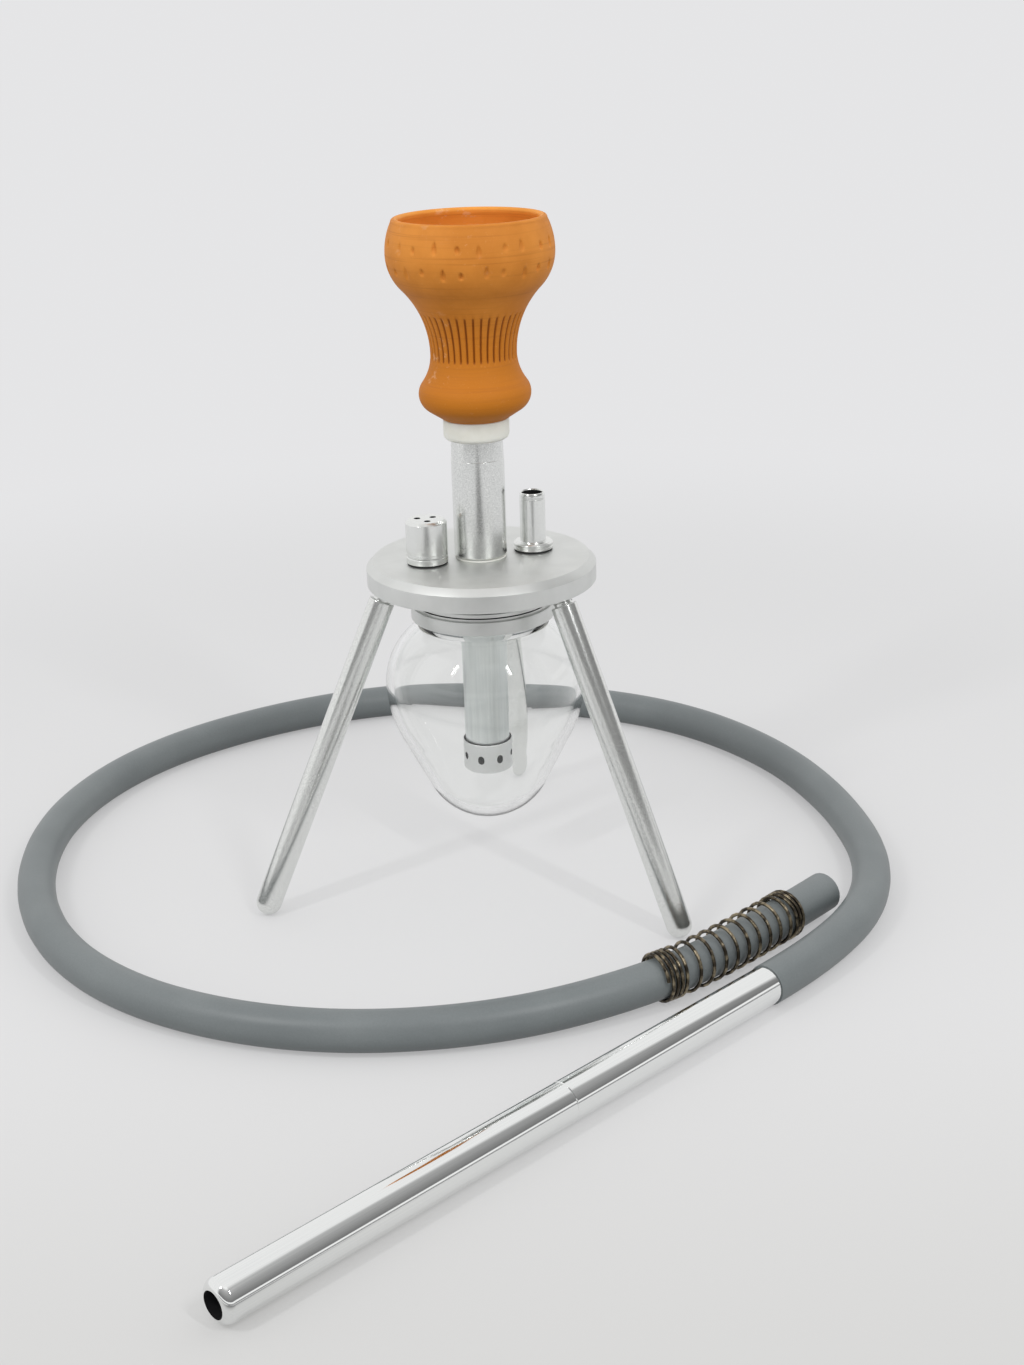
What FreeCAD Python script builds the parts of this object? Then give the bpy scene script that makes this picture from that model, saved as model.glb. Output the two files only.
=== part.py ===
import FreeCAD, Part
import math
import operator
import os
import Sketcher
from types import SimpleNamespace

# A small tripod water pipe. Origin on the floor under the stem, +Z up, +X towards the hose port.
# Lengths are in millimetres and angles in degrees.
SIZES = {
    # Top plate with its boss and threaded spigot underneath
    "plate_thickness": 11.0,
    "plate_overhang": 21.0,
    "plate_chamfer": 3.1,
    "boss_ledge": 2.4,
    "boss_depth": 6.5,
    "spigot_wall": 2.5,
    "spigot_depth": 5.5,
    "recess_flare": 1.7,
    "recess_margin": 0.4,
    "thread_clearance": 0.05,
    # Three legs screwed into the plate's underside
    "leg_radius": 6.0,
    "leg_splay": 24.2,
    "leg_inset": 6.5,
    "leg_gap": 4.4,
    "leg_shoulder": 1.3,
    "leg_roof": 1.75,
    "leg_edge_break": 0.5,
    # Hollow nipple that ties stem, plate and downstem together
    "nipple_radius": 7.5,
    "nipple_wall": 2.0,
    "nipple_engagement": 11.0,
    "nipple_spare": 1.0,
    "socket_ledge": 1.05,
    # Upper stem and the ring under its foot
    "stem_gasket_thickness": 0.8,
    "stem_radius": 12.2,
    "stem_foot_chamfer": 1.2,
    "stem_length": 55.1,
    "stem_taper_length": 9.1,
    "stem_taper": 0.4,
    "neck_wall": 2.5,
    "neck_chamfer": 0.8,
    # Silicone grommet
    "grommet_wall": 2.5,
    "grommet_ledge": 2.3,
    "grommet_flange": 9.4,
    "grommet_chamfer": 1.2,
    "grommet_short": 2.0,
    "bowl_clearance": 0.3,
    # Clay bowl
    "socket_taper": 1.2,
    "socket_depth": 24.0,
    "throat_ledge": 0.8,
    "foot_rim": 1.8,
    "foot_height": 11.5,
    "foot_round": 8.5,
    "foot_slope": 57.0,
    "waist_radius": 19.4,
    "waist_height": 29.5,
    "belly_radius": 37.5,
    "belly_height": 74.0,
    "belly_round": 22.0,
    "rim_round": 32.0,
    "rim_rise": 15.3,
    "bowl_wall": 3.0,
    "bowl_lip": 1.5,
    "cup_floor": 6.0,
    "cup_hole_radius": 2.4,
    "cup_hole_circle": 6.4,
    "cup_holes": 5,
    # Purge valve and hose port, on opposite sides of the stem
    "fitting_gap": 4.2,
    "fitting_thread_radius": 5.0,
    "fitting_floor": 3.0,
    "fitting_hole_spare": 0.5,
    "channel_radius": 2.8,
    "seal_thickness": 0.9,
    "seal_inset": 0.3,
    "purge_radius": 9.6,
    "purge_wall": 1.95,
    "purge_base_height": 3.0,
    "purge_screw_height": 4.5,
    "purge_seat_radius": 5.2,
    "purge_cap_height": 17.0,
    "purge_cap_chamfer": 1.3,
    "purge_cap_top": 2.5,
    "purge_joint_chamfer": 0.4,
    "purge_hole_radius": 1.5,
    "purge_hole_circle": 4.2,
    "purge_holes": 3,
    "purge_cap_facing": 22.0,
    "ball_radius": 4.0,
    "ball_clearance": 0.1,
    "port_flange_radius": 9.25,
    "port_flange_height": 3.5,
    "port_nipple_length": 23.3,
    "port_wall": 1.15,
    "port_chamfer": 0.8,
    # Screw collar of the vase
    "collar_gasket_thickness": 0.8,
    "collar_wall": 3.65,
    "collar_band": 6.5,
    "collar_ring": 3.4,
    "collar_groove_depth": 0.6,
    "collar_groove_width": 0.6,
    "collar_groove_height": 1.1,
    "glass_seal_thickness": 1.2,
    # Glass vase
    "vase_floor_gap": 33.0,
    "vase_radius": 47.2,
    "vase_belly_height": 69.0,
    "vase_shoulder_round": 33.2,
    "vase_lower_round": 57.5,
    "vase_taper": 26.6,
    "vase_wall": 3.2,
    "vase_neck_wall": 3.0,
    "vase_neck_length": 7.44,
    "vase_base": 3.6,
    # Downstem and diffuser
    "downstem_radius": 10.6,
    "diffuser_gap": 21.9,
    "diffuser_thread_step": 0.8,
    "diffuser_thread_length": 4.0,
    "diffuser_ledge": 1.2,
    "diffuser_height": 13.5,
    "diffuser_floor": 2.0,
    "diffuser_chamfer": 0.8,
    "diffuser_hole_radius": 1.55,
    "diffuser_hole_height": 6.5,
    "diffuser_holes": 8,
    "diffuser_facing": 9.4,
    # Hose, its spring and the mouthpiece
    "hose_bore_radius": 6.0,
    "hose_wall": 3.0,
    "hose_sink": 0.6,
    "spring_clearance": 0.75,
    "spring_floor_gap": 0.05,
    "spring_wire_radius": 0.8,
    "spring_from_end": 30.0,
    "spring_close_pitch": 2.3,
    "spring_open_pitch": 7.3,
    "spring_close_turns": 3,
    "spring_open_turns": 9.5,
    "spring_last_turns": 4,
    "barb_wall": 0.75,
    "barb_length": 24.0,
    "barb_ridge": 0.35,
    "barb_ridges": 3,
    "mouthpiece_screw_wall": 1.65,
    "mouthpiece_screw_length": 11.5,
    "mouthpiece_screw_spare": 0.5,
    "mouthpiece_socket_wall": 1.55,
    "mouthpiece_rear_length": 123.0,
    "mouthpiece_front_length": 164.0,
    "mouthpiece_seam": 0.25,
    "nose_length": 3.6,
    "nose_round": 4.2,
}

# The legs stand under the purge valve, at the right front and at the back.
LEG_ANGLES = {"leg_left": 180.0, "leg_right": 300.0, "leg_back": 60.0}

# The hose lies on the floor in one loop: from the mouthpiece round the back and the left to its free end.
HOSE_ROUTE = [
    (65.0, -167.0),
    (117.0, -144.0),
    (164.0, -92.0),
    (185.0, -17.0),
    (186.0, 62.0),
    (159.0, 137.0),
    (101.0, 192.0),
    (27.0, 227.0),
    (-54.0, 227.0),
    (-134.0, 198.0),
    (-191.0, 139.0),
    (-217.0, 61.0),
    (-214.0, -17.0),
    (-182.0, -82.0),
    (-124.0, -131.0),
    (-51.0, -153.0),
    (20.0, -150.0),
    (76.0, -129.0),
    (128.0, -102.0),
]
# The spring under the hose lifts the last points of the route.
RAISED_POINTS = 3
# Each bend of the hose takes this share of its shorter run on both sides.
BEND_SHARE = 0.45


class Size:
    """A size held twice: as a number, and as the sheet expression that gives that number."""

    def __init__(self, number, text):
        self.number = number
        self.text = text

    def joined(self, sign, work, other, swapped=False):
        if not isinstance(other, Size):
            other = Size(other, repr(other))
        left, right = (other, self) if swapped else (self, other)
        return Size(work(left.number, right.number), f"({left.text} {sign} {right.text})")

    def __add__(self, other):
        return self.joined("+", operator.add, other)

    def __sub__(self, other):
        return self.joined("-", operator.sub, other)

    def __rsub__(self, other):
        return self.joined("-", operator.sub, other, swapped=True)

    def __mul__(self, other):
        return self.joined("*", operator.mul, other)

    def __rmul__(self, other):
        return self.joined("*", operator.mul, other, swapped=True)

    def __truediv__(self, other):
        return self.joined("/", operator.truediv, other)


def sine(angle):
    return Size(math.sin(math.radians(angle.number)), f"sin({angle.text})")


def cosine(angle):
    return Size(math.cos(math.radians(angle.number)), f"cos({angle.text})")


def tangent(angle):
    return Size(math.tan(math.radians(angle.number)), f"tan({angle.text})")


def root(size):
    return Size(math.sqrt(size.number), f"sqrt({size.text})")


doc = FreeCAD.newDocument("TripodWaterPipe")
sheet = doc.addObject("Spreadsheet::Sheet", "Sizes")
for row, (alias, number) in enumerate(SIZES.items(), start=1):
    sheet.set(f"A{row}", alias)
    sheet.set(f"B{row}", str(number))
    sheet.setAlias(f"B{row}", alias)
doc.recompute()
s = SimpleNamespace(**{alias: Size(number, "Sizes." + alias) for alias, number in SIZES.items()})
ON_AXIS = Size(0.0, "0")
BASE = Size(0.0, "0")
subparts = []


def keep(thing, label):
    """Give a finished piece its name and put it on the list of pieces."""
    thing.Label = label
    subparts.append(thing)
    return thing


def origin_part(body, role):
    return next(part for part in body.Origin.OriginFeatures if part.Role == role)


def sketch_on(body, plane, name):
    sketch = body.newObject("Sketcher::SketchObject", name)
    sketch.AttachmentSupport = [(origin_part(body, plane), "")]
    sketch.MapMode = "FlatFace"
    return sketch


def bind(sketch, constraint, size):
    sketch.setExpression(f"Constraints[{sketch.addConstraint(constraint)}]", size.text)


def arc_between(start, end, radius, side):
    """The short arc from start to end whose centre lies to the left or right of the way."""
    way = end - start
    across = FreeCAD.Vector(-way.y, way.x, 0).normalize()
    if side == "right":
        across = across * -1
    reach = math.sqrt(max(radius ** 2 - (way.Length / 2) ** 2, 0.0))
    centre = (start + end) * 0.5 + across * reach
    first, last = (start, end) if side == "left" else (end, start)
    turn_in = math.atan2(first.y - centre.y, first.x - centre.x)
    turn_out = math.atan2(last.y - centre.y, last.x - centre.x)
    circle = Part.Circle(centre, FreeCAD.Vector(0, 0, 1), radius)
    return Part.ArcOfCircle(circle, turn_in, turn_out)


def draw_outline(sketch, outline):
    """Draw a closed outline of (radius, height) corners; (side, round) makes the way to a corner an arc."""
    corners = [FreeCAD.Vector(corner[0].number, corner[1].number, 0) for corner in outline]
    ends = []
    for index, start in enumerate(corners):
        following = (index + 1) % len(outline)
        bend = outline[following][2:]
        if bend:
            side, rounding = bend
            edge = sketch.addGeometry(arc_between(start, corners[following], rounding.number, side))
            bind(sketch, Sketcher.Constraint("Radius", edge, rounding.number), rounding)
            ends.append((edge, 1, 2) if side == "left" else (edge, 2, 1))
        else:
            edge = sketch.addGeometry(Part.LineSegment(start, corners[following]))
            ends.append((edge, 1, 2))
    for index, corner in enumerate(outline):
        edge, first, last = ends[index]
        before, _, before_last = ends[index - 1]
        sketch.addConstraint(Sketcher.Constraint("Coincident", before, before_last, edge, first))
        for kind, axis, size in (("DistanceX", -2, corner[0]), ("DistanceY", -1, corner[1])):
            if size in (ON_AXIS, BASE):
                sketch.addConstraint(Sketcher.Constraint("PointOnObject", edge, first, axis))
            else:
                bind(sketch, Sketcher.Constraint(kind, -1, 1, edge, first, size.number), size)


def turned(label, outline, seat=None, aside=None, facing=None):
    """A piece turned on the lathe from its half outline, with its seat height, its place beside the stem
    and the way it faces."""
    body = doc.addObject("PartDesign::Body", label)
    sketch = sketch_on(body, "XZ_Plane", label + "_outline")
    draw_outline(sketch, outline)
    turn = body.newObject("PartDesign::Revolution", label + "_turned")
    turn.Profile = sketch
    turn.ReferenceAxis = (sketch, ["V_Axis"])
    turn.Angle = 360
    if seat is not None:
        body.setExpression("Placement.Base.z", seat.text)
    if aside is not None:
        body.setExpression("Placement.Base.x", aside.text)
    if facing is not None:
        body.setExpression("Placement.Rotation.Angle", facing.text)
    doc.recompute()
    return body


def ring(label, inner, outer, height, seat, aside=None):
    outline = [(inner, BASE), (outer, BASE), (outer, height), (inner, height)]
    return keep(turned(label, outline, seat, aside), label)


def drilled(body, plane, across, up, radius, count):
    """Drill a round hole from a plane through the wall on one side, and repeat it round the axis."""
    solid_before = body.Shape.Volume
    sketch = sketch_on(body, plane, body.Name + "_hole")
    centre = FreeCAD.Vector(across.number, up.number, 0)
    hole = sketch.addGeometry(Part.Circle(centre, FreeCAD.Vector(0, 0, 1), radius.number))
    bind(sketch, Sketcher.Constraint("Radius", hole, radius.number), radius)
    for kind, axis, size in (("DistanceX", -2, across), ("DistanceY", -1, up)):
        if size in (ON_AXIS, BASE):
            sketch.addConstraint(Sketcher.Constraint("PointOnObject", hole, 3, axis))
        else:
            bind(sketch, Sketcher.Constraint(kind, -1, 1, hole, 3, size.number), size)
    pocket = body.newObject("PartDesign::Pocket", body.Name + "_drilled")
    pocket.Profile = sketch
    pocket.Type = "ThroughAll"
    pocket.Reversed = True
    pattern = body.newObject("PartDesign::PolarPattern", body.Name + "_holes")
    pattern.Originals = [pocket]
    pattern.Axis = (origin_part(body, "Z_Axis"), [""])
    pattern.Angle = 360
    pattern.setExpression("Occurrences", count.text)
    body.Tip = pattern
    doc.recompute()
    if body.Shape.Volume >= solid_before:
        raise RuntimeError(f"{body.Name}: the holes cut nothing")


def cylinder(name, radius, height, place):
    tool = doc.addObject("Part::Cylinder", name)
    tool.setExpression("Radius", radius.text)
    tool.setExpression("Height", height.text)
    tool.Placement = place
    return tool


# Radii that several pieces share, from the stem outwards
fitting_circle = s.stem_radius + s.fitting_gap + s.purge_radius
recess_radius = fitting_circle + s.channel_radius + s.recess_margin
spigot_bore = recess_radius - s.recess_flare
spigot_radius = spigot_bore + s.spigot_wall
boss_radius = spigot_radius + s.boss_ledge
plate_radius = boss_radius + s.plate_overhang
collar_bore = spigot_radius + s.thread_clearance
fitting_hole = s.fitting_thread_radius + s.thread_clearance
nipple_hole = s.nipple_radius + s.thread_clearance
stem_bore = nipple_hole - s.socket_ledge
leg_stud = s.leg_radius - s.leg_shoulder
hose_radius = s.hose_bore_radius + s.hose_wall


class Wall:
    """One wall of the glass vase, outer or inner: the heights and rounds of its tip, taper and shoulder."""

    def __init__(self, inset, neck, bottom):
        slope = sine(s.vase_taper)
        self.bottom = bottom
        self.neck = neck
        self.lower_round = s.vase_lower_round - inset
        self.shoulder_round = s.vase_shoulder_round - inset
        self.belly = s.vase_radius - inset
        reach = neck - s.vase_radius + s.vase_shoulder_round
        self.shoulder = s.vase_belly_height + root(self.shoulder_round * self.shoulder_round - reach * reach)
        self.taper_radius = s.vase_radius - s.vase_lower_round + self.lower_round * cosine(s.vase_taper)
        self.taper = s.vase_belly_height - self.lower_round * slope
        cone_point = self.taper - self.taper_radius / tangent(s.vase_taper)
        self.tip_round = (bottom - cone_point) * slope / (1 - slope)
        self.tip_radius = self.tip_round * cosine(s.vase_taper)
        self.tip = bottom + self.tip_round - self.tip_round * slope


# Heights that several pieces share, from the floor up
outer_glass = Wall(ON_AXIS, collar_bore, BASE)
inner_glass = Wall(s.vase_wall, collar_bore - s.vase_neck_wall, s.vase_base)
vase_height = outer_glass.shoulder + s.vase_neck_length
glass_top = s.vase_floor_gap + vase_height
spigot_bottom = glass_top + s.glass_seal_thickness
boss_bottom = spigot_bottom + s.spigot_depth
plate_height = boss_bottom + s.boss_depth
plate_top = plate_height + s.plate_thickness


# Top plate: a turned disc with a chamfered rim, a boss and a threaded spigot for the vase's collar
def plate_blank():
    boss = s.spigot_depth
    underside = boss + s.boss_depth
    top = underside + s.plate_thickness
    outline = [
        (spigot_bore, BASE),
        (spigot_radius, BASE),
        (spigot_radius, boss),
        (boss_radius, boss),
        (boss_radius, underside),
        (plate_radius, underside),
        (plate_radius, top - s.plate_chamfer),
        (plate_radius - s.plate_chamfer, top),
        (s.nipple_radius, top),
        (s.nipple_radius, underside),
        (recess_radius, underside),
        (spigot_bore, boss),
    ]
    return turned("plate_blank", outline, spigot_bottom)


leg_circle = plate_radius - s.leg_inset
leg_hole = leg_stud + s.thread_clearance
leg_engagement = (s.plate_thickness - s.leg_roof) / cosine(s.leg_splay) - leg_hole * tangent(s.leg_splay)


def leg_way(turn):
    """The leg's direction from its foot up to the plate, and the point where it meets the plate."""
    outward = FreeCAD.Vector(math.cos(math.radians(turn)), math.sin(math.radians(turn)), 0)
    splay = math.radians(s.leg_splay.number)
    up = FreeCAD.Vector(0, 0, math.cos(splay)) - outward * math.sin(splay)
    meets = outward * leg_circle.number + FreeCAD.Vector(0, 0, plate_height.number)
    return up, meets


def along(start, way):
    return FreeCAD.Placement(start, FreeCAD.Rotation(FreeCAD.Vector(0, 0, 1), way))


# Threaded holes in the plate: one under each fitting with its air channel, and three at the legs' slope
def plate_holes():
    tools = []
    for name, side in (("port", 1.0), ("purge", -1.0)):
        centre = side * fitting_circle.number
        depth = s.plate_thickness - s.fitting_floor
        thread_foot = FreeCAD.Vector(centre, 0, plate_top.number - depth.number)
        channel_foot = FreeCAD.Vector(centre, 0, plate_height.number)
        upright = FreeCAD.Rotation()
        tools.append(cylinder(name + "_thread", fitting_hole, depth, FreeCAD.Placement(thread_foot, upright)))
        tools.append(cylinder(name + "_channel", s.channel_radius, s.plate_thickness,
                              FreeCAD.Placement(channel_foot, upright)))
    for name, turn in LEG_ANGLES.items():
        up, meets = leg_way(turn)
        depth = s.leg_radius + leg_engagement
        tools.append(cylinder(name + "_hole", leg_hole, depth, along(meets - up * s.leg_radius.number, up)))
    return tools


holes = doc.addObject("Part::MultiFuse", "plate_holes")
holes.Shapes = plate_holes()
top_plate = doc.addObject("Part::Cut", "top_plate")
top_plate.Base = plate_blank()
top_plate.Tool = holes
keep(top_plate, "top_plate")


# Legs: round bars with a screw end turned on top and a full round foot
def leg(label, turn):
    foot_to_plate = (plate_height - s.leg_radius) / cosine(s.leg_splay)
    shoulder = s.leg_radius + foot_to_plate - s.leg_gap
    stud_top = shoulder + s.leg_gap + leg_engagement
    outline = [
        (ON_AXIS, BASE),
        (s.leg_radius, s.leg_radius, "left", s.leg_radius),
        (s.leg_radius, shoulder - s.leg_edge_break),
        (s.leg_radius - s.leg_edge_break, shoulder),
        (leg_stud, shoulder),
        (leg_stud, stud_top - s.leg_edge_break),
        (leg_stud - s.leg_edge_break, stud_top),
        (ON_AXIS, stud_top),
    ]
    bar = turned(label, outline)
    up, meets = leg_way(turn)
    bar.Placement = along(meets - up * (foot_to_plate.number + s.leg_radius.number), up)
    return keep(bar, label)


for leg_name, leg_turn in LEG_ANGLES.items():
    leg(leg_name, leg_turn)


# Nipple: a hollow screw through the middle of the plate
stem_seat = plate_top + s.stem_gasket_thickness
socket_depth = s.nipple_engagement + s.nipple_spare
nipple_length = s.plate_thickness + s.stem_gasket_thickness + 2 * s.nipple_engagement
ring("stem_nipple", s.nipple_radius - s.nipple_wall, s.nipple_radius, nipple_length,
     plate_height - s.nipple_engagement)
ring("stem_gasket", nipple_hole, s.stem_radius - s.seal_inset, s.stem_gasket_thickness, plate_top)

# The stem's neck, the grommet's plug and the bowl's socket and foot fit round each other.
neck_radius = stem_bore + s.neck_wall
plug_top_radius = neck_radius + s.grommet_wall
plug_foot_radius = plug_top_radius + s.socket_taper
socket_top_radius = plug_top_radius + s.bowl_clearance
socket_mouth_radius = plug_foot_radius + s.bowl_clearance
plug_top = s.grommet_flange + s.socket_depth - s.grommet_short


# Upper stem: a thick tube with a polished chamfer at its foot and a thinner neck inside the grommet
def upper_stem():
    neck_top = s.stem_length + plug_top
    outline = [
        (nipple_hole, BASE),
        (s.stem_radius - s.stem_foot_chamfer, BASE),
        (s.stem_radius, s.stem_foot_chamfer),
        (s.stem_radius, s.stem_length - s.stem_taper_length),
        (s.stem_radius - s.stem_taper, s.stem_length),
        (neck_radius, s.stem_length),
        (neck_radius, neck_top - s.neck_chamfer),
        (neck_radius - s.neck_chamfer, neck_top),
        (stem_bore, neck_top),
        (stem_bore, socket_depth),
        (nipple_hole, socket_depth),
    ]
    return keep(turned("upper_stem", outline, stem_seat), "upper_stem")


# Grommet: a silicone flange under the bowl with a tapered plug inside the bowl's socket
def bowl_grommet():
    flange_radius = plug_foot_radius + s.grommet_ledge
    outline = [
        (neck_radius, BASE),
        (flange_radius - s.grommet_chamfer, BASE),
        (flange_radius, s.grommet_chamfer),
        (flange_radius, s.grommet_flange),
        (plug_foot_radius, s.grommet_flange),
        (plug_top_radius, plug_top),
        (neck_radius, plug_top),
    ]
    return keep(turned("bowl_grommet", outline, stem_seat + s.stem_length), "bowl_grommet")


# Clay bowl: a foot, a waist and a belly of arcs that run into each other, with a cup and a socket inside
def clay_bowl():
    belly_centre = s.belly_radius - s.belly_round
    rim_centre = s.belly_radius - s.rim_round
    heel_height = s.foot_height - s.foot_round * sine(s.foot_slope)
    heel_radius = socket_mouth_radius + s.foot_rim + heel_height * tangent(s.foot_slope)
    foot_centre = heel_radius - s.foot_round * cosine(s.foot_slope)
    rise = s.belly_height - s.waist_height
    fall = s.waist_height - s.foot_height
    upper_out = s.waist_radius - belly_centre
    lower_out = s.waist_radius - foot_centre
    upper_hollow = (rise * rise + upper_out * upper_out - s.belly_round * s.belly_round) / (
        2 * (s.belly_round - upper_out))
    lower_hollow = (fall * fall + lower_out * lower_out - s.foot_round * s.foot_round) / (
        2 * (s.foot_round - lower_out))
    upper_share = s.belly_round / (s.belly_round + upper_hollow)
    lower_share = s.foot_round / (s.foot_round + lower_hollow)
    upper_join = (belly_centre + upper_share * (s.waist_radius + upper_hollow - belly_centre),
                  s.belly_height - upper_share * rise)
    lower_join = (foot_centre + lower_share * (s.waist_radius + lower_hollow - foot_centre),
                  s.foot_height + lower_share * fall)
    lip_rise = s.rim_rise - s.bowl_lip
    lip_height = s.belly_height + lip_rise
    inner_rim = s.rim_round - s.bowl_wall
    inner_belly = s.belly_round - s.bowl_wall
    lip_outer = rim_centre + root(s.rim_round * s.rim_round - lip_rise * lip_rise)
    lip_inner = rim_centre + root(inner_rim * inner_rim - lip_rise * lip_rise)
    lip_half = (lip_outer - lip_inner) / 2
    lip_round = (lip_half * lip_half + s.bowl_lip * s.bowl_lip) / (2 * s.bowl_lip)
    cup_bottom = s.belly_height - inner_belly
    outline = [
        (socket_mouth_radius, BASE),
        (socket_mouth_radius + s.foot_rim, BASE),
        (heel_radius, heel_height),
        (foot_centre + s.foot_round, s.foot_height, "left", s.foot_round),
        (*lower_join, "left", s.foot_round),
        (s.waist_radius, s.waist_height, "right", lower_hollow),
        (*upper_join, "right", upper_hollow),
        (s.belly_radius, s.belly_height, "left", s.belly_round),
        (lip_outer, lip_height, "left", s.rim_round),
        (lip_inner + lip_half, s.belly_height + s.rim_rise, "left", lip_round),
        (lip_inner, lip_height, "left", lip_round),
        (s.belly_radius - s.bowl_wall, s.belly_height, "right", inner_rim),
        (belly_centre, cup_bottom, "right", inner_belly),
        (ON_AXIS, cup_bottom),
        (ON_AXIS, cup_bottom - s.cup_floor),
        (socket_top_radius - s.throat_ledge, cup_bottom - s.cup_floor),
        (socket_top_radius - s.throat_ledge, s.socket_depth),
        (socket_top_radius, s.socket_depth),
    ]
    bowl = turned("clay_bowl", outline, stem_seat + s.stem_length + s.grommet_flange)
    drilled(bowl, "XY_Plane", s.cup_hole_circle, BASE, s.cup_hole_radius, s.cup_holes)
    return keep(bowl, "clay_bowl")


upper_stem()
bowl_grommet()
clay_bowl()


# Fittings on the plate: each has a black seal, a flange and a thread into the plate
thread_length = s.plate_thickness - s.fitting_floor - s.fitting_hole_spare
thread_seat = plate_top - thread_length
flange_base = thread_length + s.seal_thickness
purge_aside = -1 * fitting_circle


def purge_valve():
    """A base with a cone-shaped seat, a loose ball on it, and a screwed cap with vents over both."""
    cap_bore = s.purge_radius - s.purge_wall
    screw_radius = cap_bore - s.thread_clearance
    flange_top = flange_base + s.purge_base_height
    screw_top = flange_top + s.purge_screw_height
    seat_depth = s.purge_seat_radius - s.channel_radius
    base = [
        (s.channel_radius, BASE),
        (s.fitting_thread_radius, BASE),
        (s.fitting_thread_radius, flange_base),
        (s.purge_radius, flange_base),
        (s.purge_radius, flange_top - s.purge_joint_chamfer),
        (s.purge_radius - s.purge_joint_chamfer, flange_top),
        (screw_radius, flange_top),
        (screw_radius, screw_top),
        (s.purge_seat_radius, screw_top),
        (s.channel_radius, screw_top - seat_depth),
    ]
    keep(turned("purge_base", base, thread_seat, purge_aside), "purge_base")

    ceiling = s.purge_cap_height - s.purge_cap_top
    cap = [
        (cap_bore, BASE),
        (s.purge_radius - s.purge_joint_chamfer, BASE),
        (s.purge_radius, s.purge_joint_chamfer),
        (s.purge_radius, s.purge_cap_height - s.purge_cap_chamfer),
        (s.purge_radius - s.purge_cap_chamfer, s.purge_cap_height),
        (ON_AXIS, s.purge_cap_height),
        (ON_AXIS, ceiling),
        (cap_bore, ceiling),
    ]
    cover = turned("purge_cap", cap, thread_seat + flange_top, purge_aside, s.purge_cap_facing)
    drilled(cover, "XY_Plane", s.purge_hole_circle, BASE, s.purge_hole_radius, s.purge_holes)
    keep(cover, "purge_cap")

    # The seat's cone runs at 45 degrees, so the ball's centre stands root two radii above the cone's point.
    cone_point = thread_seat + screw_top - s.purge_seat_radius
    ball = doc.addObject("Part::Sphere", "purge_ball")
    ball.setExpression("Radius", s.ball_radius.text)
    ball.setExpression("Placement.Base.x", purge_aside.text)
    centre = cone_point + (s.ball_radius + s.ball_clearance) * math.sqrt(2)
    ball.setExpression("Placement.Base.z", centre.text)
    keep(ball, "purge_ball")


def hose_port():
    """A flanged nipple with a stepped bore."""
    flange_top = flange_base + s.port_flange_height
    top = flange_top + s.port_nipple_length
    outline = [
        (s.channel_radius, BASE),
        (s.fitting_thread_radius, BASE),
        (s.fitting_thread_radius, flange_base),
        (s.port_flange_radius, flange_base),
        (s.port_flange_radius, flange_top - s.port_chamfer),
        (s.port_flange_radius - s.port_chamfer, flange_top),
        (s.hose_bore_radius, flange_top),
        (s.hose_bore_radius, top - s.port_chamfer),
        (s.hose_bore_radius - s.port_wall, top),
        (s.hose_bore_radius - s.port_wall, flange_base),
        (s.channel_radius, flange_base),
    ]
    keep(turned("hose_port", outline, thread_seat, fitting_circle), "hose_port")


ring("purge_gasket", fitting_hole, s.purge_radius - s.seal_inset, s.seal_thickness, plate_top, purge_aside)
purge_valve()
ring("hose_port_gasket", fitting_hole, s.port_flange_radius - s.seal_inset, s.seal_thickness, plate_top,
     fitting_circle)
hose_port()


# Collar: the vase hangs in it by its neck, and it screws up against a gasket on the plate's boss
def bottle_collar():
    height = s.collar_band + s.collar_ring
    groove = s.collar_band + s.collar_groove_height
    groove_floor = boss_radius - s.collar_groove_depth
    outline = [
        (collar_bore, BASE),
        (collar_bore + s.collar_wall, BASE),
        (collar_bore + s.collar_wall, s.collar_band),
        (boss_radius, s.collar_band),
        (boss_radius, groove),
        (groove_floor, groove),
        (groove_floor, groove + s.collar_groove_width),
        (boss_radius, groove + s.collar_groove_width),
        (boss_radius, height),
        (collar_bore, height),
    ]
    seat = boss_bottom - s.collar_gasket_thickness - height
    return keep(turned("bottle_collar", outline, seat), "bottle_collar")


# Glass vase: blown thick, round in the shoulder, tapering straight to a round tip
def glass_vase():
    outline = [
        (ON_AXIS, outer_glass.bottom),
        (outer_glass.tip_radius, outer_glass.tip, "left", outer_glass.tip_round),
        (outer_glass.taper_radius, outer_glass.taper),
        (outer_glass.belly, s.vase_belly_height, "left", outer_glass.lower_round),
        (outer_glass.neck, outer_glass.shoulder, "left", outer_glass.shoulder_round),
        (outer_glass.neck, vase_height),
        (inner_glass.neck, vase_height),
        (inner_glass.neck, inner_glass.shoulder),
        (inner_glass.belly, s.vase_belly_height, "right", inner_glass.shoulder_round),
        (inner_glass.taper_radius, inner_glass.taper, "right", inner_glass.lower_round),
        (inner_glass.tip_radius, inner_glass.tip),
        (ON_AXIS, inner_glass.bottom, "right", inner_glass.tip_round),
    ]
    return keep(turned("glass_vase", outline, s.vase_floor_gap), "glass_vase")


ring("collar_gasket", collar_bore, boss_radius, s.collar_gasket_thickness,
     boss_bottom - s.collar_gasket_thickness)
bottle_collar()
ring("glass_seal", inner_glass.neck, collar_bore, s.glass_seal_thickness, glass_top)
glass_vase()


# Downstem: a bare tube screwed on the nipple, and the holed diffuser on its lower end
diffuser_seat = s.vase_floor_gap + s.vase_base + s.diffuser_gap
downstem_seat = diffuser_seat + s.diffuser_height - s.diffuser_thread_length
downstem_length = plate_height - downstem_seat
diffuser_thread = s.downstem_radius - s.diffuser_thread_step


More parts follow.
